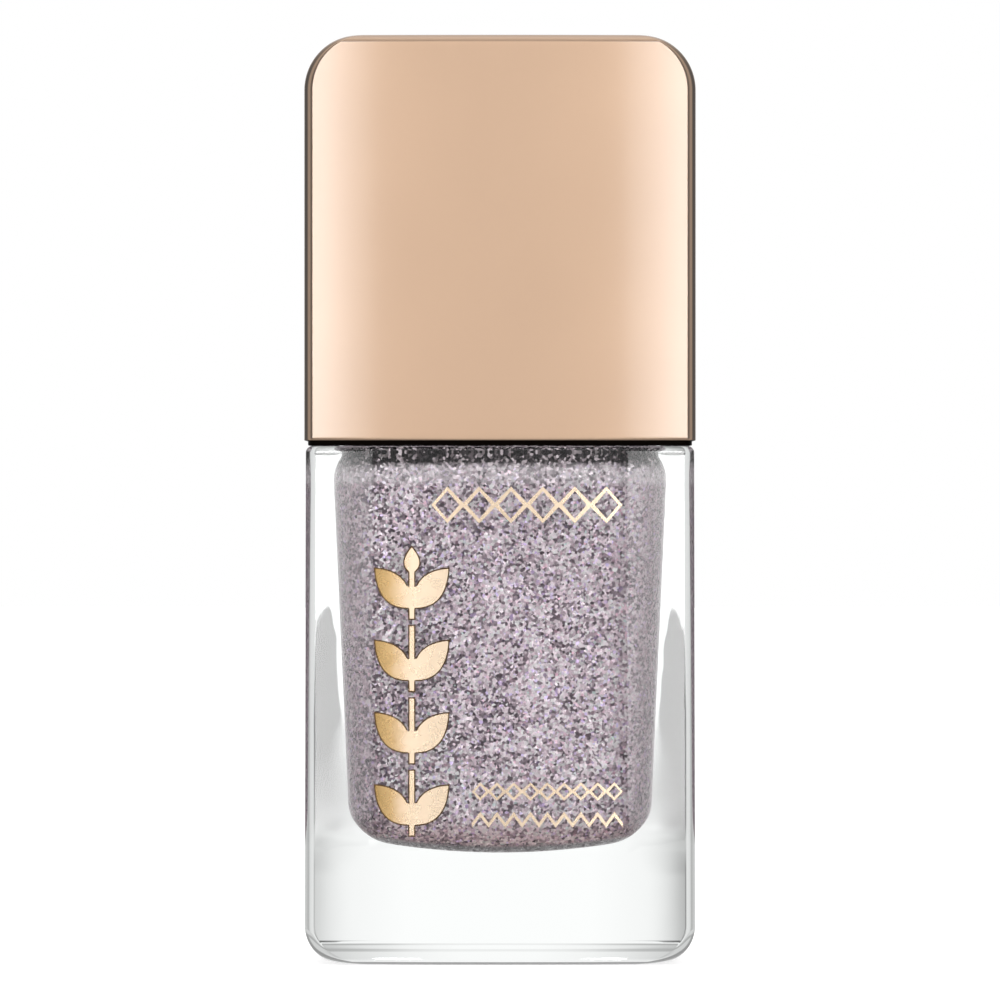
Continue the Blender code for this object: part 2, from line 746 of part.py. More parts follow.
cap_low, cap_high = SCREW_CAP_Z
screw_cap_rings = [
    screw_cap_circle(BOSS_HOLE_RADIUS, BOSS_HOLE_Z),
    screw_cap_circle(BOSS_HOLE_RADIUS, SCREW_CAP_CEILING_Z),
    screw_cap_circle(SCREW_CAP_BORE, SCREW_CAP_CEILING_Z),
    screw_cap_circle(SCREW_CAP_BORE, cap_low + 0.3),
    screw_cap_circle(SCREW_CAP_BORE + 0.2, cap_low),
    ribbed_ring(SCREW_CAP_RADIUS, SCREW_CAP_RADIUS, cap_low),
    ribbed_ring(SCREW_CAP_RADIUS, RIB_RADIUS, cap_low + 0.5),
    ribbed_ring(SCREW_CAP_RADIUS, RIB_RADIUS, cap_high - 1.0),
    ribbed_ring(SCREW_CAP_RADIUS, SCREW_CAP_RADIUS, cap_high - 0.6),
    ribbed_ring(SCREW_CAP_RADIUS - 0.15, SCREW_CAP_RADIUS - 0.15, cap_high - 0.15),
    ribbed_ring(SCREW_CAP_RADIUS - 0.5, SCREW_CAP_RADIUS - 0.5, cap_high),
    screw_cap_circle(BOSS_RADIUS, cap_high),
    screw_cap_circle(BOSS_RADIUS, BOSS_TOP_Z - 0.3),
    screw_cap_circle(BOSS_RADIUS - 0.3, BOSS_TOP_Z),
]
inner_cap = loft("inner_cap", screw_cap_rings, parts)
cap_thread = helix_ridge(
    "cap_thread",
    SCREW_CAP_BORE + THREAD_SINK,
    CAP_CREST_RADIUS,
    THREAD_START_Z - 0.5 * THREAD_PITCH,
    cutters,
)
boolean(inner_cap, "UNION", cap_thread)
finish(inner_cap, material("screw_cap", (0.83, 0.82, 0.80), roughness=0.35))


# ---------------------------------------------------------------- pull-off cap and its carrier

def cap_rings():
    """From the middle of the ceiling down the inside, round the stepped-in skirt and up the outside."""
    half_w = 0.5 * CAP_WIDTH
    half_d = 0.5 * CAP_DEPTH
    in_w = half_w - CAP_WALL
    in_d = half_d - CAP_WALL
    in_radius = CAP_TOP_RADIUS - CAP_WALL
    rings = []
    for degrees in (90, 70, 50, 30, 0):
        turn = math.radians(degrees)
        width = in_w - in_radius * (1 - math.cos(turn))
        depth = in_d - 0.3 * (degrees == 90)
        rings.append(section(width, depth, 0.5, CAP_CEILING_Z - in_radius * (1 - math.sin(turn)), BOW))
    skirt_w = half_w - CAP_SKIRT_INSET
    skirt_d = half_d - CAP_SKIRT_INSET
    rings.append(section(in_w, in_d, 0.5, CAP_SKIRT_Z, BOW))
    rings.append(section(skirt_w, skirt_d, CAP_EDGE, CAP_SKIRT_Z, BOW))
    rings.append(section(skirt_w, skirt_d, CAP_EDGE, CAP_BOTTOM_Z, BOW))
    rings.append(section(half_w, half_d, CAP_EDGE, CAP_BOTTOM_Z, BOW))
    for degrees in (0, 10, 20, 30, 40, 50, 60, 66, 72, 78, 84, 90):
        turn = math.radians(degrees)
        width = half_w - CAP_TOP_RADIUS * (1 - math.cos(turn))
        z = TOTAL_HEIGHT - CAP_TOP_RADIUS * (1 - math.sin(turn))
        above = max(0.0, z - (TOTAL_HEIGHT - CAP_EDGE))
        depth = half_d - CAP_EDGE + math.sqrt(max(0.0, CAP_EDGE**2 - above**2))
        rings.append(section(width, depth, CAP_EDGE, z, BOW))
    return rings


outer_cap = loft("outer_cap", cap_rings(), parts)
finish(outer_cap, material("gilt", (0.69, 0.46, 0.32), metallic=0.9, roughness=0.25))


def carrier_outline():
    """The inside of the pull-off cap in plan, drawn in a little."""
    drawn_in = CAP_WALL + CARRIER_GAP
    ring = section(0.5 * CAP_WIDTH - drawn_in, 0.5 * CAP_DEPTH - drawn_in, 0.5, 0.0, BOW)
    return [(x, y) for x, y, _ in ring]


sleeve_low, sleeve_high = SLEEVE_Z
sleeve_inner, sleeve_outer = SLEEVE_RADII
cap_insert = plate("cap_insert", [carrier_outline()], sleeve_low, sleeve_low + CARRIER_PLATE, parts)
deck = plate("carrier_deck", [carrier_outline()], sleeve_high, sleeve_high + CARRIER_PLATE, cutters)
lap = 0.5 * CARRIER_PLATE
sleeve = turned(
    "carrier_sleeve",
    [
        (0, sleeve_high + lap),
        (sleeve_outer, sleeve_high + lap),
        (sleeve_outer, sleeve_low + lap),
        (0, sleeve_low + lap),
    ],
    cutters,
    48,
)
web_length = CAP_WIDTH - 2 * (CAP_WALL + CARRIER_GAP + 0.4)
webs = box(
    "carrier_webs",
    (web_length, WEB_THICKNESS, sleeve_high - sleeve_low),
    (0, 0, 0.5 * (sleeve_low + sleeve_high) + lap),
    cutters,
)
passage = turned(
    "carrier_passage",
    [
        (0, sleeve_high + 3),
        (CARRIER_HOLE_RADIUS, sleeve_high + 3),
        (CARRIER_HOLE_RADIUS, sleeve_high),
        (sleeve_inner, sleeve_high),
        (sleeve_inner, sleeve_low - 2),
        (0, sleeve_low - 2),
    ],
    cutters,
    48,
)
boolean(cap_insert, "UNION", deck)
boolean(cap_insert, "UNION", sleeve)
boolean(cap_insert, "UNION", webs)
boolean(cap_insert, "DIFFERENCE", passage)
finish(cap_insert, material("carrier", (0.78, 0.78, 0.76), roughness=0.4))


# ---------------------------------------------------------------- bodies that move

def group(name, position, members):
    """An empty on the body's joint axis, with its pieces as children."""
    empty = bpy.data.objects.new(name, None)
    empty.location = Vector(position) * MM
    parts.objects.link(empty)
    for member in members:
        member.parent = empty
        member.matrix_parent_inverse = Matrix.Translation(-empty.location)
    return empty


bottle = group("bottle", (0, 0, 0), [glass_bottle, lacquer, base_label, *foils])
ball_left = group("ball_left", (0, 0, ROLL_CENTRE_Z), [mixing_ball_left])
ball_right = group("ball_right", (0, 0, ROLL_CENTRE_Z), [mixing_ball_right])
seal = group("seal", (0, 0, LIP_Z), [seal_ring])
brush = group("brush", (0, 0, FLANGE_Z[0]), [brush_stem, tuft_anchor, bristle_tuft])
screw_cap = group("screw_cap", (0, 0, SCREW_CAP_Z[0]), [inner_cap])
overcap = group("overcap", (0, 0, CAP_BOTTOM_Z), [outer_cap, cap_insert])
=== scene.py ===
import math
import random

import bmesh
import bpy
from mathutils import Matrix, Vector


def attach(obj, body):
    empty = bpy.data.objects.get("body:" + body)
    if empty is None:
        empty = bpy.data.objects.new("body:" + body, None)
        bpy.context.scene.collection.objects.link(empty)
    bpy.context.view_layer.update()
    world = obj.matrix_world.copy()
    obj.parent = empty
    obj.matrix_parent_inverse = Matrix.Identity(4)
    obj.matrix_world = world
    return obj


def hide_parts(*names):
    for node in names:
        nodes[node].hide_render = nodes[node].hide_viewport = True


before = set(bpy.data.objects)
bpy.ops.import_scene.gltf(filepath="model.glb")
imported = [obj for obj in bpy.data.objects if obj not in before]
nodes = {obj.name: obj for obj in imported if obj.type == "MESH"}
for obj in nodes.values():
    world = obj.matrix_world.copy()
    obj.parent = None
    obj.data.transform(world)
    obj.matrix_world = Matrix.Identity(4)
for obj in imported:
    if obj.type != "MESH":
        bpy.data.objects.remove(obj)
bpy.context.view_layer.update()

MM = 0.001

# Glass, outside, in millimetres
HALF_SPAN = 16.0
BOW = 1.0
GLASS_HALF_WIDTH_BASE = 15.97
GLASS_HALF_WIDTH_TOP = 15.88
GLASS_HALF_DEPTH = 10.15
GLASS_CORNER = 0.8
PUNT_CORNER = 1.6
HEEL_CORNER = 2.6
DOME_FOOT_CORNER = 1.6
DOME_TOP_CORNER = 5.0
HEEL_RADIUS = 3.2
HEEL_DEPTH_RADIUS = 1.4
FOOT_INNER_INSET = 4.9
PUNT_RISE = 0.8
LEDGE_Z = 42.4
LEDGE_WIDTH = 1.5
LEDGE_EDGE_RADIUS = 0.5
DOME_TOP_Z = 46.8
NECK_FILLET = 0.5
NECK_RADIUS = 5.7
BORE_RADIUS = 3.6
LIP_Z = 57.2
THREAD_PITCH = 2.117
THREAD_TURNS = 1.5
THREAD_START_Z = 52.0
NECK_CREST_RADIUS = 6.45
THREAD_ROOT_WIDTH = 1.3
THREAD_CREST_WIDTH = 0.6
THREAD_SINK = 0.3
THREAD_END_HEIGHT = 0.12  # as a share of the full height
THREAD_FLANK = 0.6

# Glass, inside
FLOOR_Z = 9.1
FLOOR_ARC_RADIUS = 56.0
CAVITY_HALF_WIDTH_LOW = 12.1
CAVITY_HALF_WIDTH_HIGH = 13.25
CAVITY_HALF_DEPTH_LOW = 6.6
CAVITY_HALF_DEPTH_HIGH = 7.2
CAVITY_CORNER = 4.0
CAVITY_FLOOR_CORNER = 1.2
CAVITY_FOOT_CORNER = 1.4
CAVITY_BOW = 0.8
CAVITY_FOOT_RADIUS = 3.4
CAVITY_WALL_LOW_Z = 13.4
CAVITY_WALL_HIGH_Z = 39.6
CAVITY_TOP_Z = 45.8

# Lacquer. It wets the glass, so its skin lies a hair inside the glass wall.
LACQUER_LAP = 0.02
LACQUER_LEVEL_ANGLE = 50.0
LACQUER_SURFACE_HALF_DEPTH = 7.0
# Heights, in millimetres, of painted shade and painted light on the lacquer.
LACQUER_FOOT_SHADE_Z = (10.0, 12.8)
LACQUER_LIGHT_BAND_Z = (39.0, 39.7)
LACQUER_SHADE_Z = (40.5, 41.2)
FLAKE_SCALE = 4700.0
BRUSH_WELL_RADIUS = 2.2
BRUSH_WELL_FLOOR_Z = 14.0
BALL_RADIUS = 2.0
BALL_FLOOR_GAP = 0.1
BALL_REACH_X = 9.0
BALL_TROUGH_RADIUS = 2.12

# Pull-off cap
TOTAL_HEIGHT = 76.0
CAP_HALF_WIDTH = 16.0
CAP_HALF_DEPTH = 10.3
CAP_BOTTOM_Z = 42.85
CAP_TOP_RADIUS = 4.5
CAP_EDGE = 0.65
CAP_WALL = 1.25
CAP_SKIRT_Z = 42.45
CAP_SKIRT_INSET = 0.3
CAP_CEILING_Z = 74.5
CAP_CEILING_EDGE = 0.3
CAP_INNER_CORNER = 0.5
# Below these heights the cap's rim is painted near black as a shadow.
CAP_RIM_SHADOW_Z = (42.86, 42.93)

# Gold foil on the front. A plate with a rim painted dark as shade, and a bright face that stands a hair
# above it.
FOIL_BACK = 0.03
FOIL_RIM = 0.06
FOIL_FACE = 0.08
FOIL_RIM_WIDTH = 0.11
# The foil's painted shade is deepest at the first x, in millimetres, and gone at the second.
FOIL_SHADED_X = -10.5
FOIL_LIT_X = -7.0
SPRIG_X = -7.2
SPRIG_Z = 10.5
SPRIG_PITCH = 5.9
SPRIG_LEAF_PAIRS = 4

# Points round a quarter of each ring
SIDE_STEPS = 7
CORNER_STEPS = 9
FRONT_STEPS = 26
FRONT_SPREAD = 1.7
QUARTER = SIDE_STEPS + CORNER_STEPS + FRONT_STEPS


def between(low, high, share):
    return low + (high - low) * share


def grey(level):
    return (level, level, level)


def place(name, data):
    """A new object in the scene."""
    obj = bpy.data.objects.new(name, data)
    bpy.context.scene.collection.objects.link(obj)
    return obj


# ---------------------------------------------------------------- shapes

def section(half_w, half_d, corner, z, bow=0.0, blend=0.0, radius=0.0, sag=0.0):
    """One closed ring: a rounded rectangle with bowed long sides, blended towards a circle."""
    quarter = []
    for i in range(QUARTER + 1):
        if i <= SIDE_STEPS:
            x = half_w
            y = (half_d - corner) * i / SIDE_STEPS
        elif i <= SIDE_STEPS + CORNER_STEPS:
            turn = 0.5 * math.pi * (i - SIDE_STEPS) / CORNER_STEPS
            x = half_w - corner + corner * math.cos(turn)
            y = half_d - corner + corner * math.sin(turn)
        else:
            along = (i - SIDE_STEPS - CORNER_STEPS) / FRONT_STEPS
            x = (half_w - corner) * (1 - along**FRONT_SPREAD)
            y = half_d
        y *= 1 - bow * (x / HALF_SPAN) ** 2 / half_d
        angle = 0.5 * math.pi * i / QUARTER
        x += blend * (radius * math.cos(angle) - x)
        y += blend * (radius * math.sin(angle) - y)
        quarter.append((x, y))
    ring = []
    for turn in range(4):
        for i in range(QUARTER):
            x, y = quarter[i] if turn % 2 == 0 else quarter[QUARTER - i]
            x = -x if turn in (1, 2) else x
            y = -y if turn in (2, 3) else y
            ring.append((x, y, z + sag * x * x / (2 * FLOOR_ARC_RADIUS)))
    return ring


def circle(radius, z, count=4 * QUARTER):
    turns = [2 * math.pi * i / count for i in range(count)]
    return [(radius * math.cos(a), radius * math.sin(a), z) for a in turns]


def mesh_object(name, points, faces):
    """An object from points in millimetres, with its normals turned outwards."""
    mesh = bpy.data.meshes.new(name)
    mesh.from_pydata([[c * MM for c in point] for point in points], [], faces)
    work = bmesh.new()
    work.from_mesh(mesh)
    bmesh.ops.recalc_face_normals(work, faces=work.faces)
    work.to_mesh(mesh)
    work.free()
    return place(name, mesh)


def loft(name, rings, start_tip=None, end_tip=None):
    """A closed body through the rings. Each end is a flat face, or a fan to a tip."""
    count = len(rings[0])
    points = [point for ring in rings for point in ring]
    faces = []
    for j in range(len(rings) - 1):
        low = j * count
        high = low + count
        for k in range(count):
            n = (k + 1) % count
            faces.append((low + k, low + n, high + n, high + k))
    last = (len(rings) - 1) * count
    if start_tip is None:
        faces.append(tuple(reversed(range(count))))
    else:
        tip = len(points)
        points.append(start_tip)
        faces += [((k + 1) % count, k, tip) for k in range(count)]
    if end_tip is None:
        faces.append(tuple(range(last, last + count)))
    else:
        tip = len(points)
        points.append(end_tip)
        faces += [(last + k, last + (k + 1) % count, tip) for k in range(count)]
    return mesh_object(name, points, faces)


def helix_ridge(name, root, crest, z_start, steps=96):
    """A rounded thread ridge that runs out at both ends."""
    total = round(steps * THREAD_TURNS)
    fade = steps // 6
    arc = 7
    points = []
    for i in range(total + 1):
        angle = 2 * math.pi * i / steps
        z = z_start + THREAD_PITCH * i / steps
        full = min(1.0, between(THREAD_END_HEIGHT, 1.0, min(i, total - i) / fade))
        top = root + (crest - root) * full
        half_root = 0.5 * THREAD_ROOT_WIDTH * between(THREAD_FLANK, 1.0, full)
        half_crest = 0.5 * THREAD_CREST_WIDTH * full
        for k in range(arc):
            side = 2 * k / (arc - 1) - 1
            swell = math.sqrt(max(0.0, 1 - abs(side) ** 3))
            radius = root + (top - root) * swell
            half = between(half_root, half_crest, THREAD_FLANK * swell)
            offset = side * half
            points.append((radius * math.cos(angle), radius * math.sin(angle), z + offset))
    faces = []
    for i in range(total):
        a = arc * i
        b = a + arc
        for k in range(arc):
            n = (k + 1) % arc
            faces.append((a + k, a + n, b + n, b + k))
    faces.append(tuple(reversed(range(arc))))
    end = arc * total
    faces.append(tuple(range(end, end + arc)))
    return mesh_object(name, points, faces)


def cut_or_join(obj, operation, other):
    """Applies an exact Boolean and removes the other object."""
    step = obj.modifiers.new(operation.lower(), "BOOLEAN")
    step.operation = operation
    step.solver = "EXACT"
    step.object = other
    graph = bpy.context.evaluated_depsgraph_get()
    made = bpy.data.meshes.new_from_object(obj.evaluated_get(graph))
    obj.modifiers.clear()
    obj.data = made
    bpy.data.objects.remove(other, do_unlink=True)


def smooth(obj, look, sharp_degrees=40):
    obj.data.materials.clear()
    obj.data.materials.append(look)
    obj.data.shade_smooth()
    obj.data.set_sharp_from_angle(angle=math.radians(sharp_degrees))
    return obj


# ---------------------------------------------------------------- materials

class Shading:
    """Short calls for building one node tree."""

    def __init__(self, tree):
        self.tree = tree
        self.tree.nodes.clear()

    def node(self, kind, settings=None, **inputs):
        made = self.tree.nodes.new("ShaderNode" + kind)
        for key, value in (settings or {}).items():
            setattr(made, key, value)
        for key, value in inputs.items():
            self.feed(made.inputs[key.replace("_", " ")], value)
        return made

    def feed(self, socket, value):
        if isinstance(value, bpy.types.NodeSocket):
            self.tree.links.new(value, socket)
        elif isinstance(value, tuple) and len(value) == 3 and socket.type == "RGBA":
            socket.default_value = (*value, 1.0)
        else:
            socket.default_value = value

    def math(self, operation, a, b=0.0, c=0.0, clamp=False):
        made = self.node("Math", {"operation": operation, "use_clamp": clamp})
        for socket, value in zip(made.inputs, (a, b, c)):
            self.feed(socket, value)
        return made.outputs[0]

    def times(self, a, b):
        return self.math("MULTIPLY", a, b)

    def inverse(self, value):
        """1 - value."""
        return self.math("SUBTRACT", 1.0, value)

    def vector(self, operation, a, b=(0.0, 0.0, 0.0)):
        made = self.node("VectorMath", {"operation": operation})
        self.feed(made.inputs[0], a)
        self.feed(made.inputs[1], b)
        return made.outputs[0]

    def ramp(self, factor, stops):
        """stops are (position, grey) or (position, (r, g, b))."""
        made = self.node("ValToRGB", Fac=factor)
        elements = made.color_ramp.elements
        while len(elements) < len(stops):
            elements.new(0.5)
        for element, (position, colour) in zip(elements, stops):
            element.position = position
            if not isinstance(colour, tuple):
                colour = grey(colour)
            element.color = (*colour, 1.0)
        return made.outputs["Color"]

    def span(self, value, low, high, smooth_ends=True):
        """0 below low, 1 above high."""
        kind = "SMOOTHSTEP" if smooth_ends else "LINEAR"
        made = self.node("MapRange", {"interpolation_type": kind})
        for key, number in (("Value", value), ("From Min", low), ("From Max", high)):
            self.feed(made.inputs[key], number)
        return made.outputs[0]

    def climb(self, z, low_mm, high_mm):
        """0 below one height, 1 above the other."""
        return self.span(z, low_mm * MM, high_mm * MM)

    def mix(self, factor, a, b, blend="MIX"):
        made = self.node("Mix", {"data_type": "RGBA", "blend_type": blend})
        self.feed(made.inputs[0], factor)
        self.feed(made.inputs[6], a)
        self.feed(made.inputs[7], b)
        return made.outputs[2]

    def noise(self, where, scale, detail=2.0, roughness=0.5):
        made = self.node("TexNoise", Vector=where, Scale=scale, Detail=detail, Roughness=roughness)
        return made.outputs["Fac"]

    def cells(self, where, scale):
        return self.node("TexVoronoi", {"feature": "F1"}, Vector=where, Scale=scale)

    def bump(self, height, distance, strength):
        return self.node("Bump", Height=height, Distance=distance, Strength=strength).outputs[0]

    def split(self, vector):
        return self.node("SeparateXYZ", Vector=vector).outputs

    def choose(self, factor, a, b):
        """Shader a where factor is 0, b where it is 1."""
        made = self.node("MixShader", Fac=factor)
        self.tree.links.new(a.outputs[0], made.inputs[1])
        self.tree.links.new(b.outputs[0], made.inputs[2])
        return made

    def surface(self, shader, output="OutputMaterial"):
        self.tree.links.new(shader.outputs[0], self.node(output).inputs["Surface"])

    def principled(self, **inputs):
        self.surface(self.node("BsdfPrincipled", **inputs))


def material(name):
    made = bpy.data.materials.new(name)
    made.use_nodes = True
    return made, Shading(made.node_tree)


def object_place(s):
    return s.node("TexCoord").outputs["Object"]


def glass_material():
    """Clear flint glass with the faintest ripple of a moulded wall."""
    made, s = material("flint_glass")
    where = object_place(s)
    ripple = s.noise(where, 140.0, 2.0)
    s.principled(
        Base_Color=(0.975, 0.992, 0.984),
        Roughness=0.0,
        IOR=1.5,
        Transmission_Weight=1.0,
        Normal=s.bump(ripple, 0.00002, 0.35),
    )
    return made


def lacquer_material():
    """Mauve lacquer packed with silver glitter, with painted shade on its top edge, sides and foot,
    painted light just below the top edge, and a plain grey painted shade on its underside.
    """
    made, s = material("glitter_lacquer")
    coord = s.node("TexCoord")
    where = coord.outputs["Object"]
    height = s.split(where)[2]
    facing = s.split(coord.outputs["Normal"])

    fine = s.cells(where, FLAKE_SCALE)
    fine_random = s.split(fine.outputs["Color"])
    coarse = s.cells(where, 2300.0)
    coarse_random = s.split(coarse.outputs["Color"])

    stretched = s.node("Mapping", Vector=where)
    stretched.inputs["Rotation"].default_value = (0.0, math.radians(35), 0.0)
    stretched.inputs["Scale"].default_value = (1.0, 1.0, 0.45)
    drift = s.noise(stretched.outputs[0], 210.0, 4.0, 0.6)

    grain = s.math("MULTIPLY_ADD", coarse_random[0], 0.14, s.times(fine_random[0], 0.86))
    grain = s.math("ADD", grain, s.math("MULTIPLY_ADD", drift, 0.7, -0.35))
    colour = s.ramp(
        grain,
        [
            (0.0, (0.10, 0.070, 0.092)),
            (0.22, (0.235, 0.180, 0.215)),
            (0.50, (0.720, 0.572, 0.648)),
            (0.72, (0.980, 0.860, 0.925)),
            (1.0, (1.0, 0.98, 0.99)),
        ],
    )
    tint = s.ramp(
        fine_random[1],
        [
            (0.0, (0.84, 0.76, 1.12)),
            (0.14, (1.0, 1.0, 1.0)),
            (0.84, (1.0, 1.0, 1.0)),
            (0.92, (1.10, 0.86, 0.95)),
            (1.0, (0.82, 1.06, 1.0)),
        ],
    )
    colour = s.mix(1.0, colour, tint, "MULTIPLY")
    spark = s.span(fine_random[2], 0.935, 0.965)
    colour = s.mix(spark, colour, (1.0, 0.98, 0.99))

    # Painted shade: the lacquer darkens towards its foot.
    low = s.inverse(s.climb(height, *LACQUER_FOOT_SHADE_Z))
    colour = s.mix(low, colour, (0.76, 0.64, 0.62), "MULTIPLY")
    # Painted shade: the lacquer darkens where its surface turns towards the sides.
    turned = s.span(s.math("ABSOLUTE", facing[0]), 0.12, 0.85)
    colour = s.mix(s.times(turned, 0.9), colour, (0.37, 0.29, 0.33), "MULTIPLY")
    # Painted light: a paler strip of lacquer just below its dark top edge.
    painted_light_band = s.times(s.climb(height, *LACQUER_LIGHT_BAND_Z), 0.45)
    colour = s.mix(painted_light_band, colour, (0.95, 0.88, 0.92))
    # Painted shade: the lacquer's top edge, under the cap, is near black, with some glitter specks left
    # bright.
    shaded = s.climb(height, *LACQUER_SHADE_Z)
    dim = s.ramp(
        fine_random[0],
        [
            (0.0, (0.004, 0.002, 0.004)),
            (0.52, (0.020, 0.012, 0.016)),
            (0.70, (0.12, 0.095, 0.105)),
            (0.80, (0.70, 0.59, 0.64)),
            (1.0, (1.0, 0.90, 0.94)),
        ],
    )
    colour = s.mix(shaded, colour, dim)
    # Painted shade: the underside, facing down, is a plain mid grey without glitter.
    under = s.span(s.times(facing[2], -1.0), 0.80, 0.90)
    colour = s.mix(under, colour, (0.36, 0.33, 0.345))

    tilt = s.vector("SUBTRACT", fine.outputs["Color"], grey(0.5))
    tilt = s.vector("MULTIPLY", tilt, grey(0.70))
    normal = s.vector("NORMALIZE", s.vector("ADD", s.node("NewGeometry").outputs["Normal"], tilt))
    s.principled(
        Base_Color=colour,
        Metallic=0.6,
        Roughness=s.math("MULTIPLY_ADD", fine_random[2], 0.2, 0.22),
        Normal=normal,
    )
    return made


def gilt_material():
    """Satin rose-gold plating, with two painted dark reflections round each rounded edge and a painted
    shadow on the rim.
    """
    made, s = material("rose_gold_plating")
    coord = s.node("TexCoord")
    where = coord.outputs["Object"]
    facing = s.split(coord.outputs["Normal"])
    cloud = s.noise(where, 90.0, 3.0)
    grain = s.noise(where, 9000.0, 2.0)
    colour = s.mix(s.times(cloud, 0.35), (0.468, 0.315, 0.211), (0.443, 0.295, 0.196))
    turned = s.math("ARCCOSINE", s.math("ABSOLUTE", facing[1]))
    # Painted dark reflections: two dark stripes round each rounded edge, weaker on the top edge than on
    # the sides.
    painted_edge_reflections = s.ramp(
        s.math("DIVIDE", turned, 0.5 * math.pi),
        [
            (0.080, 0.0),
            (0.100, 0.9),
            (0.160, 0.9),
            (0.230, 0.45),
            (0.340, 0.35),
            (0.430, 0.9),
            (0.500, 1.0),
            (0.640, 1.0),
            (0.760, 0.7),
            (0.900, 0.0),
        ],
    )
    away = s.inverse(s.times(facing[1], facing[1]))
    sideways = s.times(facing[0], facing[0])
    share = s.math("DIVIDE", sideways, s.math("MAXIMUM", away, 0.001), clamp=True)
    strength = s.math("MULTIPLY_ADD", share, 0.62, 0.36)
    colour = s.mix(s.times(painted_edge_reflections, strength), colour, (0.030, 0.019, 0.012))
    # Painted shadow: the bottom rim and the stepped skirt below it are near black, with no coat.
    shadow = s.inverse(s.climb(s.split(where)[2], *CAP_RIM_SHADOW_Z))
    colour = s.mix(shadow, colour, (0.003, 0.002, 0.0015))
    s.principled(
        Base_Color=colour,
        Metallic=s.math("MULTIPLY_ADD", shadow, 0.25, 0.75),
        Roughness=s.math("MULTIPLY_ADD", cloud, 0.10, 0.36),
        Coat_Weight=s.inverse(shadow),
        Coat_Roughness=0.10,
        Coat_IOR=1.5,
        Normal=s.bump(grain, 0.000004, 0.3),
    )
    return made


def foil_material():
    """Hot-stamped gold foil, with painted shade that turns it deeper gold towards its left edge."""
    made, s = material("gold_foil")
    where = object_place(s)
    x, y = s.split(where)[:2]
    cloud = s.noise(where, 900.0, 3.0)
    across = s.math("MULTIPLY_ADD", s.math("SUBTRACT", cloud, 0.5), 0.0012, x)
    # Painted shade: the gold darkens towards the left.
    colour = s.ramp(
        s.span(across, FOIL_SHADED_X * MM, FOIL_LIT_X * MM, False),
        [
            (0.0, (0.23, 0.145, 0.050)),
            (0.45, (0.42, 0.280, 0.130)),
            (0.8, (0.66, 0.500, 0.350)),
            (1.0, (0.72, 0.570, 0.420)),
        ],
    )
    x_mm = s.times(x, 1 / MM)
    sag = s.times(s.times(x_mm, x_mm), BOW / HALF_SPAN**2)
    height = s.math("ADD", s.math("MULTIPLY_ADD", y, -1 / MM, -GLASS_HALF_DEPTH), sag)
    # Painted shade: the rim below the raised face is near black.
    raised = s.span(height, FOIL_RIM + 0.005, FOIL_FACE - 0.005)
    colour = s.mix(raised, (0.075, 0.042, 0.018), colour)
    s.principled(
        Base_Color=colour,
        Metallic=0.9,
        Roughness=s.math("MULTIPLY_ADD", cloud, 0.15, 0.20),
        Normal=s.bump(s.noise(where, 5200.0, 2.0), 0.000006, 0.4),
    )
    return made


def moulded_material(name, colour, roughness=0.38, grain_scale=5000.0, metallic=0.0):
    """Moulded plastic or drawn metal with a fine surface grain and slight clouding."""
    made, s = material(name)
    where = object_place(s)
    cloud = s.noise(where, 160.0, 3.0)
    grain = s.noise(where, grain_scale, 2.0)
    darker = tuple(0.9 * c for c in colour)
    s.principled(
        Base_Color=s.mix(cloud, colour, darker),
        Metallic=metallic,
        Roughness=s.math("MULTIPLY_ADD", grain, 0.16, roughness - 0.08),
        Normal=s.bump(grain, 0.00001, 0.5),
    )
    return made


def wetted_material(name, colour, wet_below):
    """A brush part, coated with lacquer up to about the height wet_below, in millimetres."""
    made, s = material(name)
    where = object_place(s)
    edge = s.math("MULTIPLY_ADD", s.noise(where, 700.0, 2.0), 0.0016, s.split(where)[2])
    wet = s.inverse(s.climb(edge, wet_below, wet_below + 0.6))
    glitter = s.split(s.cells(where, FLAKE_SCALE).outputs["Color"])
    film = s.ramp(
        glitter[0],
        [
            (0.0, (0.16, 0.12, 0.15)),
            (0.6, (0.42, 0.34, 0.39)),
            (1.0, (0.92, 0.87, 0.90)),
        ],
    )
    s.principled(
        Base_Color=s.mix(wet, colour, film),
        Metallic=s.times(wet, 0.3),
        Roughness=s.math("MULTIPLY_ADD", wet, -0.15, 0.4),
        Normal=s.bump(s.noise(where, 3500.0, 2.0), 0.00002, 0.5),
    )
    return made


# ---------------------------------------------------------------- glass

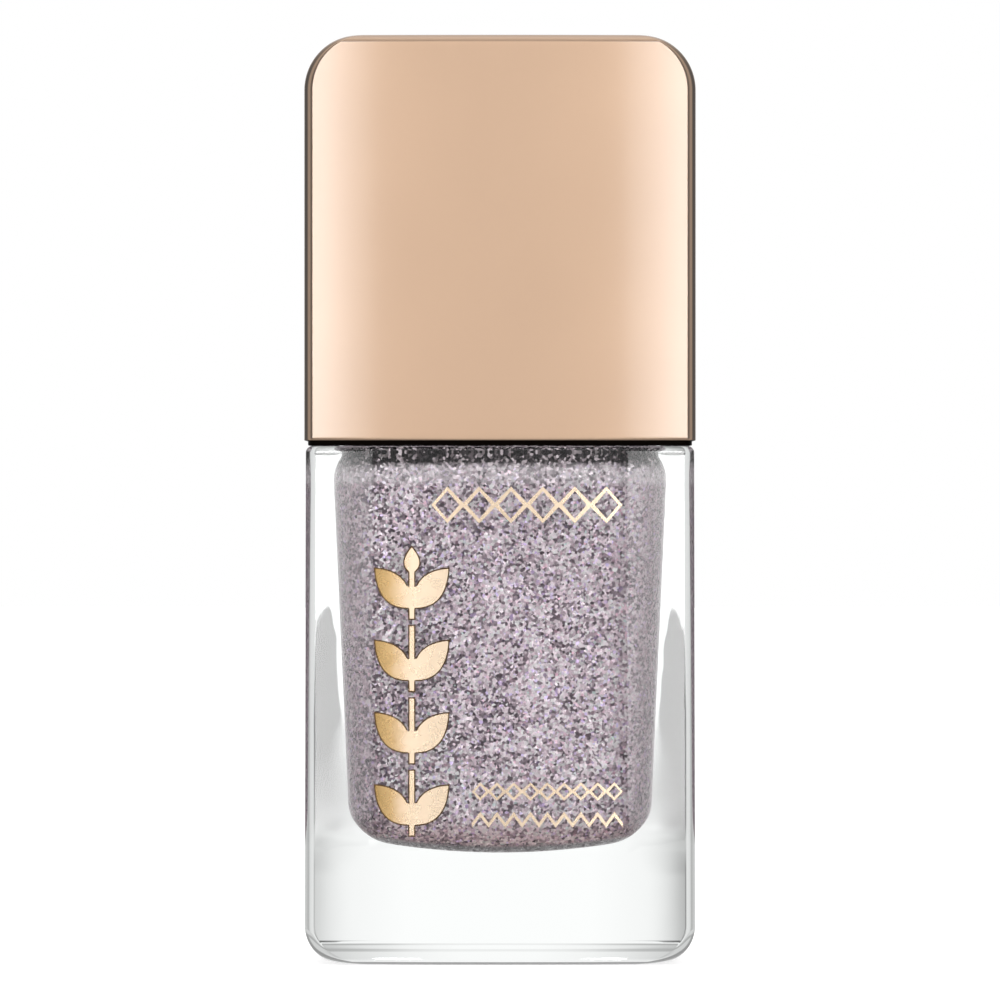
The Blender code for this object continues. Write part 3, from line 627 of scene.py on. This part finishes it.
def cavity_rings(gap, dome_angle):
    """The cavity's wall, drawn in by gap, from near the middle of its floor to an angle on its dome."""
    low_w = CAVITY_HALF_WIDTH_LOW - gap
    low_d = CAVITY_HALF_DEPTH_LOW - gap
    foot = CAVITY_FOOT_RADIUS
    corner = CAVITY_CORNER
    floor = FLOOR_Z + gap
    rings = []
    for share in (0.15, 0.3, 0.45, 0.6, 0.75, 0.9):
        half_w = (low_w - foot) * share
        half_d = (low_d - foot) * share
        soft = CAVITY_FLOOR_CORNER * share
        rings.append(section(half_w, half_d, soft, floor, CAVITY_BOW * share, sag=1))
    foot_steps = 15
    for step in range(foot_steps + 1):
        turn = math.radians(90 * step / foot_steps)
        drawn_in = foot * (1 - math.sin(turn))
        rise = foot * (1 - math.cos(turn))
        soft = between(CAVITY_FOOT_CORNER, corner, math.sin(turn))
        half_w = low_w - drawn_in
        half_d = low_d - drawn_in
        sag = 1 - 0.5 * step / foot_steps
        rings.append(section(half_w, half_d, soft, floor + rise, CAVITY_BOW, sag=sag))
    for share in (0.03, 0.06, 0.15, 0.3, 0.5, 0.7, 0.85, 0.94, 0.98, 1.0):
        z = between(CAVITY_WALL_LOW_Z, CAVITY_WALL_HIGH_Z, share)
        half_w = between(low_w, CAVITY_HALF_WIDTH_HIGH - gap, share)
        half_d = between(low_d, CAVITY_HALF_DEPTH_HIGH - gap, share)
        rings.append(section(half_w, half_d, corner, z, CAVITY_BOW))
    steps = round(dome_angle / 5)
    for step in range(1, steps + 1):
        turn = math.radians(dome_angle * step / steps)
        reach = math.cos(turn)
        half_w = BORE_RADIUS + (CAVITY_HALF_WIDTH_HIGH - BORE_RADIUS) * reach - gap
        half_d = BORE_RADIUS + (CAVITY_HALF_DEPTH_HIGH - BORE_RADIUS) * reach - gap
        z = CAVITY_WALL_HIGH_Z + (CAVITY_TOP_Z - CAVITY_WALL_HIGH_Z) * math.sin(turn)
        rounded = math.sin(turn) ** 3
        soft = min(corner, half_d - 0.2)
        round_r = between(0.5 * (half_w + half_d), BORE_RADIUS - gap, rounded)
        rings.append(section(half_w, half_d, soft, z, CAVITY_BOW * reach, rounded, round_r))
    return rings


def heel_inset(z):
    """How far the heel draws in the front and back at a height."""
    above = max(0.0, HEEL_DEPTH_RADIUS - z)
    return HEEL_DEPTH_RADIUS - math.sqrt(HEEL_DEPTH_RADIUS**2 - above**2)


PUNT_EDGE = [  # distance in from the foot ring, and share of the punt's rise
    (1.5, 1.0),
    (1.1, 0.97),
    (0.75, 0.85),
    (0.5, 0.65),
    (0.3, 0.42),
    (0.15, 0.2),
    (0.05, 0.05),
    (0.0, 0.0),
]


def glass_rings():
    """From the punt out over the heel, up the wall, over the dome and lip, and down inside."""
    rings = []
    base_w = GLASS_HALF_WIDTH_BASE
    base_d = GLASS_HALF_DEPTH
    for distance, share in PUNT_EDGE:
        inset = FOOT_INNER_INSET + distance
        rings.append(section(base_w - inset, base_d - inset, PUNT_CORNER, share * PUNT_RISE, BOW))
    for degrees in range(0, 91, 5):
        turn = math.radians(degrees)
        inset = HEEL_RADIUS * (1 - math.sin(turn))
        corner = between(HEEL_CORNER, GLASS_CORNER, math.sin(turn))
        z = HEEL_RADIUS * (1 - math.cos(turn))
        rings.append(section(base_w - inset, base_d - heel_inset(z), corner, z, BOW))
    wall_top = LEDGE_Z - LEDGE_EDGE_RADIUS
    for share in (0.01, 0.05, 0.25, 0.5, 0.75, 0.95, 0.99, 1.0):
        half_w = between(GLASS_HALF_WIDTH_BASE, GLASS_HALF_WIDTH_TOP, share)
        z = between(HEEL_RADIUS, wall_top, share)
        rings.append(section(half_w, GLASS_HALF_DEPTH, GLASS_CORNER, z, BOW))
    for degrees in (15, 30, 45, 60, 75, 90):
        turn = math.radians(degrees)
        inset = LEDGE_EDGE_RADIUS * (1 - math.cos(turn))
        z = wall_top + LEDGE_EDGE_RADIUS * math.sin(turn)
        half_w = GLASS_HALF_WIDTH_TOP - inset
        rings.append(section(half_w, GLASS_HALF_DEPTH - inset, GLASS_CORNER, z, BOW))
    dome_w = GLASS_HALF_WIDTH_TOP - LEDGE_WIDTH
    dome_d = GLASS_HALF_DEPTH - LEDGE_WIDTH
    neck_foot = NECK_RADIUS + NECK_FILLET
    for degrees in range(0, 91, 6):
        turn = math.radians(degrees)
        reach = math.cos(turn)
        half_w = between(neck_foot, dome_w, reach)
        half_d = between(neck_foot, dome_d, reach)
        z = between(LEDGE_Z, DOME_TOP_Z, math.sin(turn))
        rounded = math.sin(turn) ** 3
        round_r = between(0.5 * (half_w + half_d), neck_foot, rounded)
        corner = between(DOME_FOOT_CORNER, DOME_TOP_CORNER, math.sin(turn) ** 2)
        rings.append(section(half_w, half_d, corner, z, BOW * reach, rounded, round_r))
    for radius, z in (
        (NECK_RADIUS + 0.25, DOME_TOP_Z + 0.06),
        (NECK_RADIUS + 0.1, DOME_TOP_Z + 0.2),
        (NECK_RADIUS, DOME_TOP_Z + NECK_FILLET),
        (NECK_RADIUS, 51.0),
        (NECK_RADIUS, LIP_Z - 0.5),
        (NECK_RADIUS - 0.03, LIP_Z - 0.25),
        (NECK_RADIUS - 0.12, LIP_Z - 0.1),
        (NECK_RADIUS - 0.25, LIP_Z - 0.02),
        (NECK_RADIUS - 0.4, LIP_Z),
        (BORE_RADIUS + 0.3, LIP_Z),
        (BORE_RADIUS + 0.12, LIP_Z - 0.06),
        (BORE_RADIUS + 0.03, LIP_Z - 0.18),
        (BORE_RADIUS, LIP_Z - 0.35),
        (BORE_RADIUS, 51.0),
        (BORE_RADIUS, CAVITY_TOP_Z + 0.5),
    ):
        rings.append(circle(radius, z))
    rings += reversed(cavity_rings(0.0, 90.0))
    return rings


glass_shell = loft("glass_shell", glass_rings(), end_tip=(0.0, 0.0, FLOOR_Z))
thread_root = NECK_RADIUS - THREAD_SINK
neck_thread = helix_ridge("neck_thread", thread_root, NECK_CREST_RADIUS, THREAD_START_Z)
cut_or_join(glass_shell, "UNION", neck_thread)
smooth(glass_shell, glass_material(), 50)
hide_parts("glass_bottle")
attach(glass_shell, "bottle")


# ---------------------------------------------------------------- lacquer

ROLL_CENTRE_Z = FLOOR_Z + FLOOR_ARC_RADIUS
ROLL_RADIUS = FLOOR_ARC_RADIUS - BALL_RADIUS - BALL_FLOOR_GAP


def ball_path_z(x):
    return ROLL_CENTRE_Z - math.sqrt(ROLL_RADIUS**2 - x * x)


def trough_rings(reach, radius, count=32):
    """Rings of a round channel along the balls' path, closed by a rounded end on each side."""
    stations = []
    end_steps = 8
    for step in range(1, end_steps + 1):
        turn = math.radians(90 * step / end_steps)
        stations.append((-reach - radius * math.cos(turn), radius * math.sin(turn)))
    stations += [(reach * k / 6, radius) for k in range(-5, 7)]
    for step in range(1, end_steps):
        turn = math.radians(90 * step / end_steps)
        stations.append((reach + radius * math.sin(turn), radius * math.cos(turn)))
    rings = []
    for x, size in stations:
        z = ball_path_z(min(max(x, -reach), reach))
        turns = [2 * math.pi * i / count for i in range(count)]
        rings.append([(x, size * math.cos(a), z + size * math.sin(a)) for a in turns])
    return rings


def lacquer_rings():
    """The cavity's wall, then a meniscus that dips to the level surface."""
    rings = cavity_rings(-LACQUER_LAP, LACQUER_LEVEL_ANGLE)
    rim = rings[-1]
    level = rim[0][2]
    for drawn_in, drop in ((0.08, 0.12), (0.22, 0.24), (0.5, 0.34), (1.0, 0.38)):
        scale = 1 - drawn_in / LACQUER_SURFACE_HALF_DEPTH
        rings.append([(x * scale, y * scale, level - drop) for x, y, _ in rim])
    return rings


lacquer_body = loft("lacquer_body", lacquer_rings(), start_tip=(0.0, 0.0, FLOOR_Z - LACQUER_LAP))
well = loft(
    "brush_well",
    [
        circle(BRUSH_WELL_RADIUS, 50.0, 48),
        circle(BRUSH_WELL_RADIUS, BRUSH_WELL_FLOOR_Z + 0.6, 48),
        circle(BRUSH_WELL_RADIUS - 0.2, BRUSH_WELL_FLOOR_Z + 0.2, 48),
        circle(BRUSH_WELL_RADIUS - 0.6, BRUSH_WELL_FLOOR_Z, 48),
    ],
)
trough = loft("ball_trough", trough_rings(BALL_REACH_X, BALL_TROUGH_RADIUS))
cut_or_join(lacquer_body, "DIFFERENCE", well)
cut_or_join(lacquer_body, "DIFFERENCE", trough)
smooth(lacquer_body, lacquer_material())
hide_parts("lacquer")
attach(lacquer_body, "bottle")


# ---------------------------------------------------------------- pull-off cap

def cap_rings():
    """From the ceiling's middle down the inside, round the stepped-in skirt and up the outside."""
    in_w = CAP_HALF_WIDTH - CAP_WALL
    in_d = CAP_HALF_DEPTH - CAP_WALL
    in_radius = CAP_TOP_RADIUS - CAP_WALL
    rings = []
    for degrees in range(90, -1, -6):
        turn = math.radians(degrees)
        width = in_w - in_radius * (1 - math.cos(turn))
        z = CAP_CEILING_Z - in_radius * (1 - math.sin(turn))
        above = max(0.0, z - (CAP_CEILING_Z - CAP_CEILING_EDGE))
        depth = in_d - CAP_CEILING_EDGE + math.sqrt(max(0.0, CAP_CEILING_EDGE**2 - above**2))
        rings.append(section(width, depth, CAP_INNER_CORNER, z, BOW))
    for out, rise in ((0.0, 0.2), (0.03, 0.06), (0.1, 0.0)):
        z = CAP_SKIRT_Z + rise
        rings.append(section(in_w + out, in_d + out, CAP_INNER_CORNER, z, BOW))
    skirt_w = CAP_HALF_WIDTH - CAP_SKIRT_INSET
    skirt_d = CAP_HALF_DEPTH - CAP_SKIRT_INSET
    for inset, z in (
        (0.08, CAP_SKIRT_Z),
        (0.02, CAP_SKIRT_Z + 0.02),
        (0.0, CAP_SKIRT_Z + 0.08),
        (0.0, CAP_BOTTOM_Z),
    ):
        rings.append(section(skirt_w - inset, skirt_d - inset, CAP_EDGE, z, BOW))
    for inset, rise in ((0.07, 0.0), (0.02, 0.02), (0.0, 0.07), (0.0, 0.3)):
        width = CAP_HALF_WIDTH - inset
        rings.append(section(width, CAP_HALF_DEPTH - inset, CAP_EDGE, CAP_BOTTOM_Z + rise, BOW))
    for share in (0.25, 0.5, 0.75, 0.97):
        z = between(CAP_BOTTOM_Z, TOTAL_HEIGHT - CAP_TOP_RADIUS, share)
        rings.append(section(CAP_HALF_WIDTH, CAP_HALF_DEPTH, CAP_EDGE, z, BOW))
    for degrees in (*range(0, 61, 3), *range(62, 91, 2)):
        turn = math.radians(degrees)
        width = CAP_HALF_WIDTH - CAP_TOP_RADIUS * (1 - math.cos(turn))
        z = TOTAL_HEIGHT - CAP_TOP_RADIUS * (1 - math.sin(turn))
        above = max(0.0, z - (TOTAL_HEIGHT - CAP_EDGE))
        depth = CAP_HALF_DEPTH - CAP_EDGE + math.sqrt(max(0.0, CAP_EDGE**2 - above**2))
        rings.append(section(width, depth, CAP_EDGE, z, BOW))
    return rings


gilt_cap = smooth(loft("gilt_cap", cap_rings()), gilt_material(), 35)
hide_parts("outer_cap")
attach(gilt_cap, "overcap")


# ---------------------------------------------------------------- bristles

TUFT = [  # half width, half depth and height of the tuft, from its tip to its root
    (1.05, 0.72, 15.0),
    (1.40, 0.90, 15.9),
    (1.62, 1.02, 17.5),
    (1.66, 1.10, 20.0),
    (1.45, 1.10, 24.0),
    (1.12, 1.02, 28.3),
    (0.96, 0.96, 30.4),
    (0.95, 0.95, 33.5),
]
TUFT_FILL = 0.90
FILAMENTS = 190
FILAMENT_RADIUS = 0.055
FILAMENT_TIP_TAPER = 0.55
FILAMENT_ROOT_Z = 33.4
FILAMENT_WANDER = 0.03
WANDER_RATE = 0.35
TIP_Z = 14.75
TIP_DISH = 2.0
TIP_SCATTER = 0.35


def tuft_size(z):
    for (w0, d0, z0), (w1, d1, z1) in zip(TUFT, TUFT[1:]):
        if z <= z1:
            share = max(0.0, (z - z0) / (z1 - z0))
            return between(w0, w1, share), between(d0, d1, share)
    return TUFT[-1][0], TUFT[-1][1]


def filaments(name, sides=5, segments=12):
    """Filaments spread evenly over the tuft. Those further out end higher."""
    draw = random.Random(7)
    points = []
    faces = []
    for i in range(FILAMENTS):
        out = math.sqrt((i + 0.5) / FILAMENTS)
        angle = i * math.pi * (3 - math.sqrt(5))
        u = TUFT_FILL * out * math.cos(angle)
        v = TUFT_FILL * out * math.sin(angle)
        tip = TIP_Z + TIP_DISH * out**2 + draw.uniform(0.0, TIP_SCATTER)
        wander = draw.uniform(-FILAMENT_WANDER, FILAMENT_WANDER)
        first = len(points)
        for k in range(segments + 1):
            z = between(tip, FILAMENT_ROOT_Z, k / segments)
            half_w, half_d = tuft_size(z)
            x = u * half_w + wander * math.sin(WANDER_RATE * z + i)
            y = v * half_d
            radius = FILAMENT_RADIUS * (FILAMENT_TIP_TAPER if k == 0 else 1.0)
            for n in range(sides):
                a = 2 * math.pi * n / sides
                points.append((x + radius * math.cos(a), y + radius * math.sin(a), z))
        for k in range(segments):
            low = first + k * sides
            for n in range(sides):
                m = (n + 1) % sides
                faces.append((low + n, low + m, low + sides + m, low + sides + n))
        faces.append(tuple(reversed(range(first, first + sides))))
        end = first + segments * sides
        faces.append(tuple(range(end, end + sides)))
    return mesh_object(name, points, faces)


bristle_look = wetted_material("wet_nylon", (0.035, 0.032, 0.030), 32.5)
bristles = smooth(filaments("bristles"), bristle_look, 60)
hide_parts("bristle_tuft")
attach(bristles, "brush")


# ---------------------------------------------------------------- gold leaves

def bezier(start, control, end, steps=24):
    points = []
    for i in range(steps + 1):
        t = i / steps
        x = (1 - t) ** 2 * start[0] + 2 * t * (1 - t) * control[0] + t * t * end[0]
        y = (1 - t) ** 2 * start[1] + 2 * t * (1 - t) * control[1] + t * t * end[1]
        points.append((x, y))
    return points


def leaf_outline(top_bud):
    """A short stalk with a leaf on each side, and a bud on the last one."""
    stalk = 0.3
    right = [(stalk, 0.0)]
    right += bezier((stalk, 0.9), (2.95, 0.9), (3.1, 4.3))
    right += bezier((3.1, 4.3), (0.95, 4.2), (stalk, 2.75))[1:]
    if top_bud:
        right += bezier((stalk, 3.9), (1.25, 4.7), (0.0, 6.1))
        left = [(-x, y) for x, y in reversed(right[:-1])]
    else:
        right.append((stalk, 5.5))
        left = [(-x, y) for x, y in reversed(right)]
    return right + left


def with_pitch(outline, pitch=0.12):
    """The same outline with more points on its long edges."""
    points = []
    for (x0, y0), (x1, y1) in zip(outline, outline[1:] + outline[:1]):
        count = max(1, math.ceil(math.hypot(x1 - x0, y1 - y0) / pitch))
        points += [(between(x0, x1, k / count), between(y0, y1, k / count)) for k in range(count)]
    return points


def drawn_in(outline, distance):
    """The outline moved inwards. Points that come too close to another edge are dropped."""
    kept = []
    for i, (x, y) in enumerate(outline):
        x0, y0 = outline[i - 1]
        x1, y1 = outline[(i + 1) % len(outline)]
        length = math.hypot(x1 - x0, y1 - y0)
        moved = (x - (y1 - y0) / length * distance, y + (x1 - x0) / length * distance)
        if min(math.dist(moved, other) for other in outline) > 0.96 * distance:
            kept.append(moved)
    return kept


def foil_leaf(name, outline, x_offset, z_offset):
    """A foil shape drawn flat, then bent round the front of the glass."""
    outline = with_pitch(outline)
    inset = drawn_in(outline, FOIL_RIM_WIDTH)
    work = bmesh.new()
    loops = []
    for flat, height in (
        (outline, FOIL_BACK),
        (outline, FOIL_RIM),
        (inset, FOIL_RIM),
        (inset, FOIL_FACE),
    ):
        loops.append([work.verts.new((x, y, height)) for x, y in flat])
    back, rim_outer, rim_inner, face = loops
    for low, high in ((back, rim_outer), (rim_inner, face)):
        for k in range(len(low)):
            n = (k + 1) % len(low)
            work.faces.new((low[k], low[n], high[n], high[k]))
    work.faces.new(back)
    work.faces.new(face)
    rim_edges = []
    for loop in (rim_outer, rim_inner):
        rim_edges += [work.edges.get((loop[k - 1], loop[k])) for k in range(len(loop))]
    bmesh.ops.triangle_fill(work, use_beauty=True, use_dissolve=False, edges=rim_edges)
    for cut in range(-6, 7):
        everything = work.verts[:] + work.edges[:] + work.faces[:]
        plane = {"plane_co": (0.5 * cut, 0, 0), "plane_no": (1, 0, 0)}
        bmesh.ops.bisect_plane(work, geom=everything, dist=1e-5, **plane)
    bmesh.ops.triangulate(work, faces=work.faces)
    for vert in work.verts:
        x = vert.co.x + x_offset
        front = GLASS_HALF_DEPTH - BOW * (x / HALF_SPAN) ** 2
        vert.co = Vector((x, -front - vert.co.z, vert.co.y + z_offset)) * MM
    bmesh.ops.recalc_face_normals(work, faces=work.faces)
    mesh = bpy.data.meshes.new(name)
    work.to_mesh(mesh)
    work.free()
    return place(name, mesh)


foil_look = foil_material()
for number in range(SPRIG_LEAF_PAIRS):
    outline = leaf_outline(top_bud=number == SPRIG_LEAF_PAIRS - 1)
    leaf = foil_leaf(f"leaf_pair_{number + 1}", outline, SPRIG_X, SPRIG_Z + number * SPRIG_PITCH)
    smooth(leaf, foil_look, 30)
    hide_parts(f"foil_leaf_pair_{number + 1}")
    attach(leaf, "bottle")


# ---------------------------------------------------------------- looks of the CAD nodes that stay

def dress(look, *names):
    for name in names:
        mesh = nodes[name].data
        mesh.materials.clear()
        mesh.materials.append(look)


dress(foil_look, "foil_upper_chain", "foil_lower_chain", "foil_lower_zigzag")
ball_look = moulded_material("polished_steel", (0.66, 0.66, 0.68), 0.14, 2500.0, 1.0)
dress(ball_look, "mixing_ball_left", "mixing_ball_right")
dress(moulded_material("foam_liner", (0.80, 0.80, 0.78), 0.75, 3800.0), "seal_ring")
dress(moulded_material("screw_cap_plastic", (0.80, 0.79, 0.77), 0.36), "inner_cap")
dress(moulded_material("carrier_plastic", (0.74, 0.74, 0.72), 0.42), "cap_insert")
dress(moulded_material("brass_wire", (0.75, 0.60, 0.32), 0.30, 4200.0, 1.0), "tuft_anchor")
dress(moulded_material("coated_paper", (0.88, 0.87, 0.85), 0.55, 7000.0), "base_label")
dress(wetted_material("wet_stem_plastic", (0.80, 0.79, 0.77), 44.2), "brush_stem")


# ---------------------------------------------------------------- studio

STRIP_LOWEST = 0.05  # sine of the angle below the horizon where the strip's ramps end
BACK_TURN = 0.2  # radians from straight behind where the narrow ramps end


def room_greys(s, direction, sideways):
    """The room that lights the bottle: greys that change from the front round to the back."""
    from_front = s.math("ARCTAN2", sideways, s.times(direction[1], -1.0))
    return s.ramp(
        s.math("DIVIDE", from_front, math.pi),
        [
            (0.0, 0.72),
            (0.12, 0.72),
            (0.2, 0.80),
            (0.4, 0.75),
            (0.5, 0.85),
            (0.6, 0.55),
            (0.75, 0.40),
            (0.9, 0.50),
            (0.98, 0.90),
        ],
    )


def wall_strip(s, direction, from_back):
    """How dark the strip on each side is. It starts as a point, widens downwards and blurs."""
    drop = s.span(s.times(direction[2], -1.0), 0.0, STRIP_LOWEST, False)
    inner = s.ramp(
        drop,
        [
            (0.19, 0.0918),
            (0.214, 0.0898),
            (0.25, 0.0878),
            (0.312, 0.0868),
            (0.394, 0.0845),
            (0.46, 0.074),
            (0.537, 0.056),
            (0.68, 0.078),
        ],
    )
    inner_blur = s.ramp(
        drop,
        [(0.25, 0.0015), (0.394, 0.002), (0.46, 0.020), (0.537, 0.04), (0.68, 0.0405)],
    )
    outer = s.ramp(drop, [(0.19, 0.092), (0.25, 0.101), (0.312, 0.108), (0.394, 0.120), (0.68, 0.112)])
    outer_blur = s.ramp(drop, [(0.19, 0.003), (0.25, 0.008), (0.312, 0.03), (0.394, 0.06), (0.68, 0.06)])
    strip = s.span(from_back, inner, s.math("ADD", inner, inner_blur))
    strip = s.times(strip, s.inverse(s.span(from_back, outer, s.math("ADD", outer, outer_blur))))
    strip = s.times(strip, s.span(drop, 0.18, 0.205))
    faint = s.ramp(drop, [(0.45, 0.0), (0.537, 0.15), (0.68, 0.38)])
    faint = s.times(faint, s.span(direction[0], -0.03, 0.03))
    strip = s.times(strip, s.inverse(faint))
    paler = s.ramp(drop, [(0.583, 1.0), (0.603, 0.52), (0.625, 0.56), (0.665, 1.0)])
    return s.times(strip, paler)


def heel_greys(s, direction, from_back, turn):
    """Greys for light that leaves the heel upwards, with one faint darker line."""
    heel = s.ramp(
        turn,
        [
            (0.10, 1.0),
            (0.25, 0.93),
            (0.35, 0.81),
            (0.40, 0.74),
            (0.455, 0.64),
            (0.60, 0.52),
            (1.0, 0.62),
        ],
    )
    height = s.math("MULTIPLY_ADD", from_back, -0.15, direction[2])
    off_line = s.math("ABSOLUTE", s.math("SUBTRACT", height, 0.028))
    line = s.inverse(s.span(off_line, 0.012, 0.032))
    strength = s.math("MULTIPLY_ADD", s.span(from_back, 0.03, 0.08), 0.22, 0.12)
    return s.mix(s.times(line, strength), heel, grey(0.0))


def backdrop(s, direction, sideways, overhead):
    """What light that has passed through the glass meets.

    A white middle with greys to its sides, a dark strip on each side, the heel's greys above
    the horizon, and a dark zone that gives the foot its outline.
    """
    from_back = s.math("ARCTAN2", sideways, direction[1])
    turn = s.math("DIVIDE", from_back, BACK_TURN, clamp=True)
    through = s.ramp(
        s.math("DIVIDE", from_back, math.pi),
        [
            (0.0, 1.02),
            (0.016, 1.02),
            (0.027, 0.94),
            (0.034, 0.92),
            (0.045, 0.80),
            (0.100, 0.72),
            (0.130, 0.42),
            (0.250, 0.65),
            (0.600, 0.86),
            (1.0, 0.86),
        ],
    )
    dark = s.ramp(turn, [(0.415, 0.38), (0.45, 0.25), (0.485, 0.11), (0.60, 0.22)])
    through = s.mix(wall_strip(s, direction, from_back), through, dark)
    fading = s.inverse(s.span(direction[2], 0.30, 0.50))
    rising = s.times(s.span(direction[2], 0.008, 0.02), fading)
    through = s.mix(rising, through, heel_greys(s, direction, from_back, turn))
    through = s.mix(overhead, through, grey(1.1))
    rim = s.times(s.span(direction[1], 0.40, 0.55), s.span(direction[2], 0.05, 0.15))
    rim = s.times(rim, s.inverse(s.span(direction[1], 0.815, 0.866)))
    return s.mix(rim, through, grey(0.30))


def studio_world():
    """The camera sees plain white, the room's greys light the bottle, and glass shows the backdrop."""
    world = bpy.data.worlds.new("studio")
    bpy.context.scene.world = world
    world.use_nodes = True
    s = Shading(world.node_tree)
    direction = s.split(s.node("TexCoord").outputs["Generated"])
    sideways = s.math("ABSOLUTE", direction[0])
    overhead = s.span(direction[2], 0.45, 0.9)
    level = s.mix(overhead, room_greys(s, direction, sideways), grey(1.25))
    path = s.node("LightPath").outputs
    through = backdrop(s, direction, sideways, overhead)
    level = s.mix(path["Is Transmission Ray"], level, through)
    lights = s.node("Background", Color=level, Strength=1.0)
    seen = s.node("Background", Color=grey(1.0), Strength=1.0)
    s.surface(s.choose(path["Is Camera Ray"], lights, seen), "OutputWorld")


CARD_FADE = 0.012  # as a share of the card's height


def card(name, centre, width, height, stops):
    """A glowing card that faces the bottle. Its glow is graded across, and fades in at its foot."""
    centre = Vector(centre)
    aim = (Vector((0.0, 0.0, centre.z)) - centre).normalized()
    across = aim.cross(Vector((0.0, 0.0, 1.0))).normalized()
    corners = []
    for side, up in ((-0.5, -0.5), (0.5, -0.5), (0.5, 0.5), (-0.5, 0.5)):
        corners.append(centre + across * side * width + Vector((0.0, 0.0, up * height)))
    mesh = bpy.data.meshes.new(name)
    mesh.from_pydata([tuple(c) for c in corners], [], [(0, 1, 2, 3)])
    layer = mesh.uv_layers.new(name="across")
    for loop, uv in zip(layer.data, ((0, 0), (1, 0), (1, 1), (0, 1))):
        loop.uv = uv
    made, s = material(name + "_glow")
    position = s.split(s.node("TexCoord").outputs["UV"])
    top = max(level for _, level in stops)
    glow = s.ramp(position[0], [(spot, level / top) for spot, level in stops])
    faded = s.times(s.span(position[1], 0.0, CARD_FADE), top)
    s.surface(s.node("Emission", Color=glow, Strength=faded))
    mesh.materials.append(made)
    obj = place(name, mesh)
    obj.visible_camera = False
    obj.visible_shadow = False
    return obj


def polar(distance, degrees, z):
    """A point round the bottle, with 0 degrees towards the camera and + to the right."""
    turn = math.radians(degrees)
    return (distance * math.sin(turn), -distance * math.cos(turn), z)


def strip_cards():
    """Two tall narrow softboxes beside the camera, brighter towards their outer edges."""
    inner, outer = 10.4, 16.8  # degrees from the camera's direction
    distance = 1.1
    width = 2 * distance * math.tan(math.radians(0.5 * (outer - inner)))
    middle = 0.5 * (inner + outer)
    graded = [(0.0, 3.9), (0.25, 4.9), (0.45, 7.6), (0.65, 11.5), (1.0, 12.5)]
    soft = [(0.0, 2.6), (0.25, 4.3), (0.45, 7.4), (0.65, 11.5), (1.0, 12.5)]
    mirrored = [(1 - spot, level) for spot, level in reversed(soft)]
    foot = -0.0245
    height = 0.58
    centre_z = foot + 0.5 * height
    card("strip_right", polar(distance, middle, centre_z), width, height, graded)
    card("strip_left", polar(distance, -middle, centre_z), width, height, mirrored)


def foot_screen():
    """A plain glow just before the foot, seen only through the glass.

    It keeps the strip cards' reflections out of the heel.
    """
    centre = (0.0, -0.0115, 0.0032)
    width = 0.036
    height = 0.0104
    level = 0.7
    obj = card("foot_screen", centre, width, height, [(0.0, level), (1.0, level)])
    obj.visible_diffuse = False
    obj.visible_glossy = False


def floor():
    """A pale floor that gives off a little light. It doesn't show in the glass or in reflections."""
    mesh = bpy.data.meshes.new("floor")
    half = 3.0
    corners = [(-half, -half, 0), (half, -half, 0), (half, half, 0), (-half, half, 0)]
    mesh.from_pydata(corners, [], [(0, 1, 2, 3)])
    made, s = material("pale_floor")
    shader = s.node(
        "BsdfPrincipled",
        Base_Color=grey(0.60),
        Roughness=0.6,
        Emission_Color=grey(1.0),
        Emission_Strength=0.70,
    )
    path = s.node("LightPath").outputs
    unseen = s.math("MAXIMUM", path["Is Transmission Ray"], path["Is Glossy Ray"])
    s.surface(s.choose(unseen, shader, s.node("BsdfTransparent")))
    mesh.materials.append(made)
    obj = place("floor", mesh)


def top_light():
    light = bpy.data.lights.new("top_softbox", "AREA")
    light.shape = "RECTANGLE"
    light.size = 1.0
    light.size_y = 0.8
    light.energy = 2.0
    obj = place("top_softbox", light)
    obj.location = (0.0, -0.15, 1.1)
    obj.rotation_euler = (math.radians(-8), 0.0, 0.0)


def camera():
    """A long lens, level with the bottle's middle. The bottle fills 0.93 of the picture's height."""
    lens = bpy.data.cameras.new("camera")
    lens.lens = 400.0
    lens.sensor_width = 36.0
    lens.clip_start = 0.05
    view_height = 0.0820  # at fit_y, a little before the bottle's axis
    fit_y = -0.006
    distance = view_height * lens.lens / lens.sensor_width
    obj = place("camera", lens)
    obj.location = (0.0, fit_y - distance, 0.5 * TOTAL_HEIGHT * MM)
    obj.rotation_euler = (math.radians(90), 0.0, 0.0)
    bpy.context.scene.camera = obj


studio_world()
strip_cards()
foot_screen()
floor()
top_light()
camera()
bpy.context.scene.view_settings.view_transform = "Standard"
